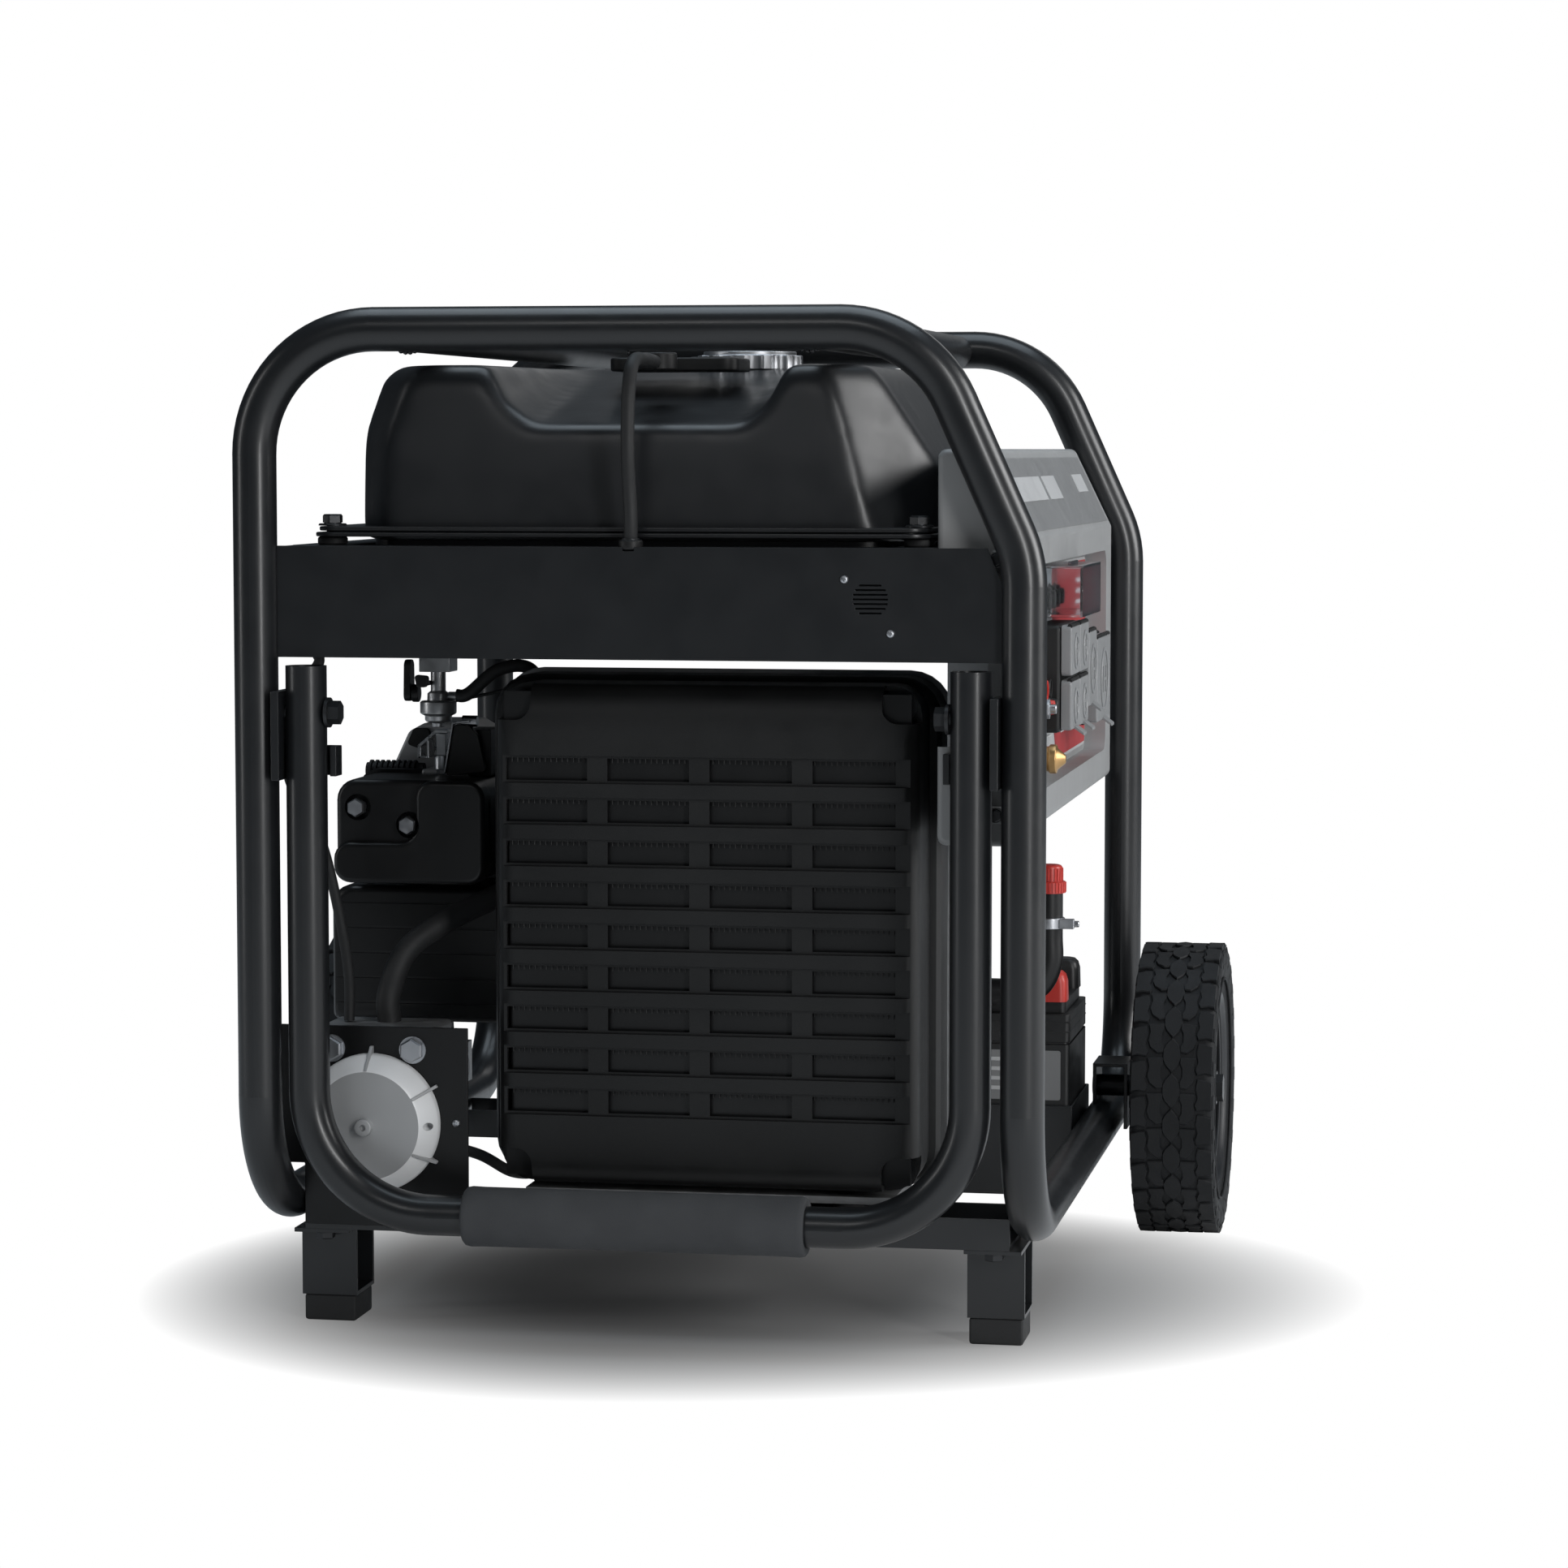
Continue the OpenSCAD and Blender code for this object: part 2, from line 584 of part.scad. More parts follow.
module muffler() color("#4a4c4e") from_front() difference() {
  union() {
    rod_x([-120, 162], 562, 305, 74);
    rod_y(-60, [460, 500], 305, 15);
    rod_y(118, [560, 647], 305, 16);
    rod_y(118, [646, 666], 305, 18);
  }
  rod_y(118, [640, 667], 305, 14);
}

module spark_plug_boot() color("#121212") from_front() {
  rod_x([-284, -262], 268, 362, 11);
  rod_z(-276, 268, [340, 362], 9);
}

// ---- fuel ----

module fuel_valve() color("#6d7072") from_front() {
  x = valve_at[0];
  y = valve_at[1];
  block([x - 11, y - 11, 492], [x + 11, y + 11, 512]);
  rod_z(x, y, [512, pan_lo], 8);
  rod_z(x, y, [474, 492], 8);
  rod_z(x, y, [461, 474], 11);
  rod_z(x, y, [448, 461], 17);
  rod_z(x, y, [441, 448], 12);
  rod_x([x - 14, x - 9], y, 468, 6);
  rod_x([x + 9, x + 16], y, 467, 3.5);
}
module fuel_valve_lever() color("#3a3c3e") from_front() {
  x = valve_at[0] - 14.1;
  rod_x([x - 6, x], valve_at[1], 468, 7);
  block([x - 12, valve_at[1] - 8, 462], [x - 6, valve_at[1] + 8, 494]);
}

// Vent hose, petrol hose, gas hose and a wiring sleeve, each on its own route
vent_route = [[-5, 95.5, 720], [-5, 60, 721], [-6, 27, 718], [-6, 11, 695], [-6, 8, 650], [-4, 8, 610], [-4, 8, 587]];
petrol_route = [[-181.9, 200, 467], [-174, 200, 467], [-152, 204, 486], [-130, 212, 488], [-120, 226, 468],
  [-118, 260, 430], [-118, 310, 396], [-130, 336, 384], [-149.9, 336, 384]];
gas_route = [[-211, 100, 226.2], [-211, 100, 248], [-199, 112, 280], [-170, 148, 302], [-136, 186, 320],
  [-124, 240, 340], [-124, 300, 348], [-132, 344, 350], [-149.9, 344, 350]];
wiring_route = [[-252, 56, 504.5], [-252, 56, 496], [-275, 60, 470], [-277, 60, 440], [-275, 60, 410],
  [-262, 68, 385], [-252, 76, 350], [-244, 86, 300], [-240, 92, 260], [-240, 92, 227]];
module rubber_hoses() color("#17181a") from_front() {
  hose(vent_route, hose_r);
  hose(petrol_route, hose_r);
  hose(gas_route, 9);
  hose(wiring_route, 4);
}

// ---- gas regulator ----

module regulator_plate() color("#151617") from_front() difference() {
  along_y([plate_y - 2.5, plate_y])
    polygon([[-285, 228], [-139, 228], [-139, 78], [-265, 78], [-265, 124], [-285, 124]]);
  rod_y(dome_at[0], [50, 60], dome_at[1], 30);
}
module regulator_body() color("#9b9ea0") from_front() {
  translate([dome_at[0], plate_y - 2.5, dome_at[1]]) rotate([90, 0, 0]) rotate_extrude()
    polygon([[0, 0], [52, 0], [52, 8], [39, 20], [12, 21], [5.5, 23], [5.5, 29], [0, 29]]);
  for (a = [30 : 60 : 330]) translate([dome_at[0], 0, dome_at[1]]) rotate([0, a, 0])
    block([45, plate_y - 17, -1.2], [57, plate_y - 2.5, 1.2]);
  rod_y(dome_at[0], [plate_y - 4, plate_y + 4], dome_at[1], 29.9);
  block([-256, plate_y, 108], [-168, 122, 226]);
}

// ---- battery ----

module battery() color("#141516") from_front() {
  block(battery_lo, battery_hi);
  block([battery_lo[0] + 4, 480, 193], [258, 587, 203]);
  for (y = [474, 565]) block([232, y, 203], [259, y + 26, 228]);
}
module battery_tray() color("#1b1d1e") from_front() difference() {
  block(battery_lo - [2.5, 2.5, 2.5], [inner_x - 0.3, 597.5, 118]);
  block(battery_lo, [battery_hi[0] + 0.5, 595, 119]);
}

module oil_pipe() color("#1d1e20") from_front() difference() {
  bent_bar([[172, oil_at[1], 215], [oil_at[0], oil_at[1], 215], [oil_at[0], oil_at[1], oil_top]], 11, 26);
  rod_z(oil_at[0], oil_at[1], [250, oil_top + 1], 9);
}
module oil_cap() color("#c23a2b") from_front() {
  rod_z(oil_at[0], oil_at[1], [282, oil_top + 1], 9 - run_gap);
  rod_z(oil_at[0], oil_at[1], [oil_top + 0.2, 320], 13.5);
}

// ---- control panel ----

module panel_housing() color("#8a8c8d") from_front() difference() {
  union() {
    along_y(panel_y) polygon([[216, 373], [lip_x, 373], [lip_x, 590], [240, 656], [216, 656]]);
    for (y = [[12, 20], [692, 700]], z = [390, 572]) block([256, y[0], z], [264, y[1], z + 12]);
  }
  block([face_x, recess_y[0], recess_z[0]], [lip_x + 1, recess_y[1], recess_z[1]]);
  block([215, panel_y[0] + 4, 377], [face_x - 4, panel_y[1] - 4, 586]);
  block([215, panel_y[0] + 4, 585], [236, panel_y[1] - 4, 650]);
  rod_x([face_x - 5, face_x + 1], 200, 500, 9.3);
  block([215, panel_y[0] - 1, 444], [262, 41, 506]); // room for the handle's upper end
}
module inverter() color("#8f9294") from_front() block([217, 70, 392], [face_x - 6, 470, 560]);

module outlets() color("#1a1a1a") from_front() {
  block([face_x, 270, 438], [cover_x - 0.5, 394, 520.5]);
  block([face_x, 398, 450], [cover_x - 0.5, 454, 514]);
  block([face_x, 460, 432], [cover_x - 0.5, 562, 506]);
}

module panel_controls() color("#222222") from_front() {
  for (y = [320, 350, 380, 410]) rod_x([face_x, face_x + 9], y, 539, 9);
  for (y = [236, 258]) {
    block([face_x, y - 9, 440], [face_x + 10, y + 9, 482]);
    rod_x([face_x + 10, face_x + 22], y, 460, 6);
  }
  rod_x([face_x, face_x + 26], 214, 460, 4);
  block([face_x, 90, 505], [face_x + 3, 165, 550]);
}

module propane_inlet() color("#b08a4a") from_front() {
  hex_x([face_x, face_x + 8], 190, 424, 26);
  rod_x([face_x + 8, 284], 190, 424, 11);
  translate([284, 190, 424]) rotate([0, 90, 0]) cylinder(r1 = 8, r2 = 3, h = 6);
}

// A spring cover with its hinge barrel along the top edge
module flap(y, z) {
  block([cover_x, y[0], z[0]], [cover_out, y[1], z[1] - 2]);
  rod_y(cover_out - 2, y, z[1] - 2, 2);
}
module upper_cover_1() color("#77797a") from_front() flap([272, 330], [482, 522]);
module upper_cover_2() color("#77797a") from_front() flap([334, 392], [482, 522]);
module lower_cover_1() color("#77797a") from_front() flap([272, 330], [440, 480]);
module lower_cover_2() color("#77797a") from_front() flap([334, 392], [440, 480]);
module lock_cover() color("#77797a") from_front() flap([399, 453], [451, 513]);
module large_cover() color("#77797a") from_front() flap([462, 560], [434, 505]);

module breaker_cover() color([0.8, 0.85, 0.88, 0.4]) from_front() {
  difference() {
    block([face_x + 1, 300, 526], [290, 430, 566]);
    block([face_x, 302, 528], [288, 428, 564]);
  }
  rod_y(lip_x + 3, [340, 390], 567, 1.5);
}

module start_button() color("#b02a22") from_front() rod_x([face_x - 1.5, face_x + 8], 200, 500, 9);

front_hoop();
rear_hoop();
frame_rails();
cross_members();
foot_brackets();
rubber_feet();
engine_mounts();
shelf_panels();
shelf_side_rails();
fuel_tank();
tank_isolators();
fuel_cap();
tank_fittings();
hex_bolts();
panel_screws();
handle_tube();
handle_grip();
handle_brackets();
pivot_bolts();
left_tyre();
left_rim();
right_tyre();
right_rim();
stub_axles();
axle_brackets();
fan_cover();
fan_housing();
flywheel_fan();
crankshaft();
stator();
engine_block();
cylinder_head();
cylinder_shroud();
valve_cover();
carburettor();
air_cleaner();
muffler();
fuel_valve();
fuel_valve_lever();
rubber_hoses();
spark_plug_boot();
regulator_plate();
regulator_body();
battery();
battery_tray();
oil_pipe();
oil_cap();
panel_housing();
inverter();
outlets();
panel_controls();
propane_inlet();
upper_cover_1();
upper_cover_2();
lower_cover_1();
lower_cover_2();
lock_cover();
large_cover();
breaker_cover();
start_button();
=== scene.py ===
# %% [markdown]
# # A portable generator on a rolling tube frame
# The measured model of the machine is loaded first. It never changes: each piece made here is laid over it,
# follows one of its bodies, and takes its sizes from it. Lengths are in metres.

# %% Load the measured model
import json
import math

import bmesh
import bpy
from mathutils import Matrix, Vector

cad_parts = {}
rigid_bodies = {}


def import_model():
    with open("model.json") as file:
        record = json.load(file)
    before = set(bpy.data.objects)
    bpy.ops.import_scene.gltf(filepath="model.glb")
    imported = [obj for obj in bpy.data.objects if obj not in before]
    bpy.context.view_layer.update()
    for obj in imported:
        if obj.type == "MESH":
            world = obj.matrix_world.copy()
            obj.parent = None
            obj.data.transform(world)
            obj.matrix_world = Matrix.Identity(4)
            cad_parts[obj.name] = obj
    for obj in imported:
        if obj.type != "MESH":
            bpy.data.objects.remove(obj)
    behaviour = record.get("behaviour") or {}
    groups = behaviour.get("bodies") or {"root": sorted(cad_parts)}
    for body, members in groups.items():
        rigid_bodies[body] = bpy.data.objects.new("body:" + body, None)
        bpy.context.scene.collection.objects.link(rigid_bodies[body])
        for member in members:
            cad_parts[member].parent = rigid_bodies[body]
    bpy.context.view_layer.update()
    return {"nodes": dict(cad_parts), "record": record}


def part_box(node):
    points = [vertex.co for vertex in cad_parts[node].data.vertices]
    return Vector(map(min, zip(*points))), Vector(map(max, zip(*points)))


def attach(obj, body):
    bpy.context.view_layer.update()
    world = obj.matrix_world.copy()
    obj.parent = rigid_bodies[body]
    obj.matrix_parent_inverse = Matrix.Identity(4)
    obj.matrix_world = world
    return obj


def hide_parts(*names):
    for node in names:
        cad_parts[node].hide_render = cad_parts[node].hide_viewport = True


for leftover in list(bpy.data.objects):
    bpy.data.objects.remove(leftover)
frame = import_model()
scene = bpy.context.scene
slot_of = {part["node"]: part["material_slot"] for part in frame["record"]["subparts"]}
body_of = {node: body for body, nodes in frame["record"]["behaviour"]["bodies"].items() for node in nodes}

# %% [markdown]
# ## Camera and light
# A long lens far away keeps the tubes almost parallel. The background is white, but a black painted tube
# shows whatever surrounds it, so the tubes see a dim room with a few soft lamps, and only the camera sees white.
# The Light Path node tells the two apart.

# %% Camera
CAMERA_AT = (0.6469, -3.3333, 0.6553)
CAMERA_TURN = math.radians(10.226)
CAMERA_DIP = math.radians(4.49)
lens = bpy.data.cameras.new("camera")
lens.sensor_width = 36
lens.lens = 97.67
lens.dof.use_dof = False
camera = bpy.data.objects.new("camera", lens)
scene.collection.objects.link(camera)
camera.location = CAMERA_AT
camera.rotation_euler = (math.pi / 2 - CAMERA_DIP, 0, CAMERA_TURN)
scene.camera = camera
scene.view_settings.view_transform = "Standard"
print("camera", tuple(camera.location))

# %% Room and lamps
world = bpy.data.worlds.new("studio")
world.use_nodes = True
scene.world = world
nodes, links = world.node_tree.nodes, world.node_tree.links
nodes.clear()
seen = nodes.new("ShaderNodeBackground")
seen.inputs["Color"].default_value = (1, 1, 1, 1)
room = nodes.new("ShaderNodeBackground")
room.inputs["Color"].default_value = (0.72, 0.86, 1, 1)
room.inputs["Strength"].default_value = 0.055
path = nodes.new("ShaderNodeLightPath")
pick = nodes.new("ShaderNodeMixShader")
world_out = nodes.new("ShaderNodeOutputWorld")
links.new(path.outputs["Is Camera Ray"], pick.inputs["Fac"])
links.new(room.outputs[0], pick.inputs[1])
links.new(seen.outputs[0], pick.inputs[2])
links.new(pick.outputs[0], world_out.inputs["Surface"])


def lamp(name, at, look_at, size, power, colour=(1, 1, 1)):
    """A rectangular soft lamp that faces a point."""
    light = bpy.data.lights.new(name, "AREA")
    light.shape = "RECTANGLE"
    light.size, light.size_y = size
    light.energy = power
    light.color = colour
    holder = bpy.data.objects.new(name, light)
    scene.collection.objects.link(holder)
    holder.location = at
    holder.rotation_euler = (Vector(look_at) - Vector(at)).to_track_quat("-Z", "Y").to_euler()
    return holder


lamp("top_softbox", (0, 0.1, 3.2), (0, 0, 0.3), (2.6, 2.2), 46, (0.78, 0.9, 1))
lamp("key_softbox", (2.35, -2.9, 1.5), (0, 0, 0.4), (0.5, 2.6), 60)
lamp("left_softbox", (-3.6, -1.6, 1.2), (0, 0, 0.4), (0.5, 2.4), 16)
lamp("right_softbox", (3.3, 0.3, 1.6), (0.2, 0, 0.4), (1.4, 2.2), 80)
lamp("front_softbox", (-0.6, -4.2, 2.6), (0, 0, 0.4), (1.2, 0.7), 9)
lamp("rear_softbox", (0.4, 3.6, 2.2), (0, 0, 0.4), (2.6, 1.0), 6)

# %% [markdown]
# ## Mesh helpers
# The machine was measured from the plane of its front hoop, in millimetres, with X across, Y to the rear and Z up.
# Shapes are drawn with those numbers, and one matrix moves them into the model's own frame at the end.

# %% From drawing millimetres to the model's frame
MM = 0.001
HOOP_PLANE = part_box("regulator_plate")[1].y / MM - 58
TO_FRAME = Matrix.Scale(MM, 4) @ Matrix.Translation((0, HOOP_PLANE, 0))
print("front hoop plane at", round(HOOP_PLANE, 2), "mm")


def frame_point(point):
    """A drawing point in the model's frame."""
    return TO_FRAME @ Vector(point)


def add_block(bm, low, high):
    """A block between two corners."""
    low, high = Vector(low), Vector(high)
    bmesh.ops.create_cube(bm, size=1, matrix=Matrix.Translation((low + high) / 2) @ Matrix.Diagonal((*(high - low), 1)))


def add_rod(bm, start, end, radius, sides=32, end_radius=None):
    """A cylinder or cone between two points."""
    start, end = Vector(start), Vector(end)
    turn = (end - start).to_track_quat("Z", "Y").to_matrix().to_4x4()
    bmesh.ops.create_cone(bm, cap_ends=True, segments=sides, radius1=radius, depth=(end - start).length,
                          radius2=radius if end_radius is None else end_radius,
                          matrix=Matrix.Translation((start + end) / 2) @ turn)


def add_loft(bm, rings, closed=False):
    """A skin over rings of equal length, capped at both ends unless it closes on itself."""
    made = [[bm.verts.new(point) for point in ring] for ring in rings]
    pairs = list(zip(made, made[1:] + made[:1])) if closed else list(zip(made, made[1:]))
    for low, high in pairs:
        for i in range(len(low)):
            j = (i + 1) % len(low)
            bm.faces.new((low[i], low[j], high[j], high[i]))
    if not closed:
        bm.faces.new(made[0][::-1])
        bm.faces.new(made[-1])


AXES = {"x": (1, 2, 0), "y": (0, 2, 1), "z": (0, 1, 2)}


def along(axis, flat, height):
    """A point from two flat coordinates and one along the axis."""
    point = [0, 0, 0]
    for place, value in zip(AXES[axis], (*flat, height)):
        point[place] = value
    return point


def add_prism(bm, outline, axis, low, high):
    """An outline pushed along an axis."""
    add_loft(bm, [[along(axis, p, h) for p in outline] for h in (low, high)])


def add_turned(bm, outline, at, axis, sides=48):
    """(radius, height) pairs turned about an axis. A radius of nothing at an end closes the shape there."""
    def spot(radius, height, i):
        angle = math.tau * i / sides
        flat = (at[AXES[axis][0]] + radius * math.cos(angle), at[AXES[axis][1]] + radius * math.sin(angle))
        return along(axis, flat, at[AXES[axis][2]] + height)

    rings = [[bm.verts.new(spot(r, h, i)) for i in range(sides if r else 1)] for r, h in outline]
    looped = bool(outline[0][0] and outline[-1][0])
    for low, high in list(zip(rings, rings[1:])) + ([(rings[-1], rings[0])] if looped else []):
        for i in range(sides):
            j = (i + 1) % sides
            corners = [low[i % len(low)], low[j % len(low)], high[j % len(high)], high[i % len(high)]]
            bm.faces.new(list(dict.fromkeys(corners)))


def rounded(low, high, radius, steps=6):
    """A rectangle's outline with round corners. The radius is one number, or four, from the low corner round."""
    radii = radius if isinstance(radius, (list, tuple)) else [radius] * 4
    corners = [(low[0], low[1], 180), (high[0], low[1], 270), (high[0], high[1], 0), (low[0], high[1], 90)]
    outline = []
    for (x, z, start), r in zip(corners, radii):
        cx = x + r if x == low[0] else x - r
        cz = z + r if z == low[1] else z - r
        for i in range(steps + 1):
            angle = math.radians(start + 90 * i / steps)
            outline.append((cx + r * math.cos(angle), cz + r * math.sin(angle)))
    return outline


# %% Finishing a mesh
def put(name, mesh):
    """A new object in the scene that holds the mesh."""
    obj = bpy.data.objects.new(name, mesh)
    scene.collection.objects.link(obj)
    return obj


def solid(name, bm):
    """The drawn shape as an object in the model's frame, with its faces outwards."""
    bmesh.ops.recalc_face_normals(bm, faces=bm.faces)
    bm.transform(TO_FRAME)
    mesh = bpy.data.meshes.new(name)
    bm.to_mesh(mesh)
    bm.free()
    return put(name, mesh)


def settle(obj):
    """The result of the object's modifiers becomes its own mesh."""
    graph = bpy.context.evaluated_depsgraph_get()
    mesh = bpy.data.meshes.new_from_object(obj.evaluated_get(graph), depsgraph=graph)
    obj.modifiers.clear()
    obj.data = mesh
    return obj


def carve(obj, cutter):
    """Takes the cutter's volume out of the object."""
    cut = obj.modifiers.new("carve", "BOOLEAN")
    cut.operation, cut.solver, cut.object = "DIFFERENCE", "EXACT", cutter
    settle(obj)
    bpy.data.objects.remove(cutter)
    return obj


def soften_edges(obj, width, steps=2, angle=32):
    """Rounds every edge that is sharper than the angle. Real edges are never knife sharp, and catch the light."""
    bevel = obj.modifiers.new("edges", "BEVEL")
    bevel.width, bevel.segments = width * MM, steps
    bevel.limit_method, bevel.angle_limit = "ANGLE", math.radians(angle)
    return settle(obj)


def piece(obj, finish, body="root", stands_for=(), smooth=34):
    """Gives the object its finish and ties it to its body."""
    mesh = obj.data
    mesh.materials.clear()
    mesh.materials.append(finish)
    mesh.polygons.foreach_set("use_smooth", [True] * len(mesh.polygons))
    mesh.set_sharp_from_angle(angle=math.radians(smooth))
    even = obj.modifiers.new("even_shading", "WEIGHTED_NORMAL")
    even.keep_sharp = True
    even.weight = 60
    settle(obj)
    if stands_for:
        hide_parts(*stands_for)
    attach(obj, body)
    return obj


def smoothed_copy(node, width, finish, angle=32, steps=2):
    """A copy of a measured part with its edges rounded, which is shown in its place."""
    bm = bmesh.new()
    bm.from_mesh(frame["nodes"][node].data)
    bmesh.ops.remove_doubles(bm, verts=bm.verts, dist=2e-6)
    bmesh.ops.dissolve_limit(bm, angle_limit=math.radians(0.6), verts=bm.verts, edges=bm.edges)
    mesh = bpy.data.meshes.new(node + "_shape")
    bm.to_mesh(mesh)
    bm.free()
    obj = soften_edges(put(node + "_shape", mesh), width, steps, angle)
    return piece(obj, finish, body_of[node], [node])

# %% [markdown]
# ## Finishes
# Paint, moulded plastic, rubber and bare metal differ in how their tone drifts over the surface, how rough they
# are, and what tiny relief they carry. Each of those effects is one shared node group with named inputs, placed
# in every finish with its own values. The shader itself stays in the finish.

# %% Shared effects
def effect(name, inputs, output, kind):
    """An empty node group with number inputs and one output, reading object coordinates."""
    tree = bpy.data.node_groups.new(name, "ShaderNodeTree")
    for label, value in inputs.items():
        is_colour = isinstance(value, tuple)
        socket = tree.interface.new_socket(label, in_out="INPUT",
                                           socket_type="NodeSocketColor" if is_colour else "NodeSocketFloat")
        socket.default_value = value
    tree.interface.new_socket(output, in_out="OUTPUT", socket_type=kind)
    given, result = tree.nodes.new("NodeGroupInput"), tree.nodes.new("NodeGroupOutput")
    where = tree.nodes.new("ShaderNodeTexCoord")
    return tree, given, result, where


def noise(tree, where, scale, detail=4.0):
    """A noise texture on object coordinates."""
    node = tree.nodes.new("ShaderNodeTexNoise")
    node.inputs["Detail"].default_value = detail
    tree.links.new(where.outputs["Object"], node.inputs["Vector"])
    tree.links.new(scale, node.inputs["Scale"])
    return node


WHITE = (1.0, 1.0, 1.0, 1.0)
tone, given, result, where = effect("tone_drift", {"Base": WHITE, "Drift": WHITE, "Scale": 9.0}, "Colour",
                                    "NodeSocketColor")
cloud = noise(tone, where, given.outputs["Scale"])
stretch = tone.nodes.new("ShaderNodeMapRange")
stretch.inputs["From Min"].default_value, stretch.inputs["From Max"].default_value = 0.35, 0.7
blend = tone.nodes.new("ShaderNodeMix")
blend.data_type = "RGBA"
tone.links.new(cloud.outputs["Fac"], stretch.inputs["Value"])
tone.links.new(stretch.outputs["Result"], blend.inputs["Factor"])
tone.links.new(given.outputs["Base"], blend.inputs["A"])
tone.links.new(given.outputs["Drift"], blend.inputs["B"])
tone.links.new(blend.outputs["Result"], result.inputs["Colour"])

gloss, given, result, where = effect("gloss_drift", {"Low": 0.3, "High": 0.4, "Scale": 25.0}, "Roughness",
                                     "NodeSocketFloat")
cloud = noise(gloss, where, given.outputs["Scale"], 6.0)
span = gloss.nodes.new("ShaderNodeMapRange")
span.inputs["From Min"].default_value, span.inputs["From Max"].default_value = 0.35, 0.65
gloss.links.new(cloud.outputs["Fac"], span.inputs["Value"])
gloss.links.new(given.outputs["Low"], span.inputs["To Min"])
gloss.links.new(given.outputs["High"], span.inputs["To Max"])
gloss.links.new(span.outputs["Result"], result.inputs["Roughness"])

grain, given, result, where = effect("surface_grain", {"Scale": 900.0, "Fleck": 0.3, "Fleck Scale": 300.0},
                                     "Height", "NodeSocketFloat")
fine = noise(grain, where, given.outputs["Scale"], 2.0)
pits = grain.nodes.new("ShaderNodeTexVoronoi")
grain.links.new(where.outputs["Object"], pits.inputs["Vector"])
grain.links.new(given.outputs["Fleck Scale"], pits.inputs["Scale"])
weigh = grain.nodes.new("ShaderNodeMix")
grain.links.new(given.outputs["Fleck"], weigh.inputs["Factor"])
grain.links.new(fine.outputs["Fac"], weigh.inputs["A"])
grain.links.new(pits.outputs["Distance"], weigh.inputs["B"])
grain.links.new(weigh.outputs["Result"], result.inputs["Height"])
print("shared effects", [g.name for g in bpy.data.node_groups])


# %% A finish from its numbers
def finish(name, colour, rough, metal=0.0, drift=0.25, scale=9.0, relief=0.0, grain_scale=900.0, fleck=0.3,
           fleck_scale=300.0, coat=0.0, specular=0.5):
    """A material whose tone, roughness and relief change over the surface."""
    material = bpy.data.materials.new(name)
    material.use_nodes = True
    tree = material.node_tree
    shader = tree.nodes["Principled BSDF"]
    shader.inputs["Metallic"].default_value = metal
    shader.inputs["Coat Weight"].default_value = coat
    shader.inputs["Coat Roughness"].default_value = 0.12
    shader.inputs["Specular IOR Level"].default_value = specular

    def use(group, socket, **values):
        node = tree.nodes.new("ShaderNodeGroup")
        node.node_tree = group
        for label, value in values.items():
            node.inputs[label.replace("_", " ")].default_value = value
        tree.links.new(node.outputs[0], socket)

    lighter = tuple(min(1.0, c * (1 + drift) + 0.002) for c in colour)
    use(tone, shader.inputs["Base Color"], Base=(*colour, 1), Drift=(*lighter, 1), Scale=scale)
    use(gloss, shader.inputs["Roughness"], Low=rough[0], High=rough[1], Scale=scale * 4)
    if relief:
        bump = tree.nodes.new("ShaderNodeBump")
        bump.inputs["Strength"].default_value = relief
        bump.inputs["Distance"].default_value = 0.0004
        use(grain, bump.inputs["Height"], Scale=grain_scale, Fleck=fleck, Fleck_Scale=fleck_scale)
        tree.links.new(bump.outputs["Normal"], shader.inputs["Normal"])
    return material


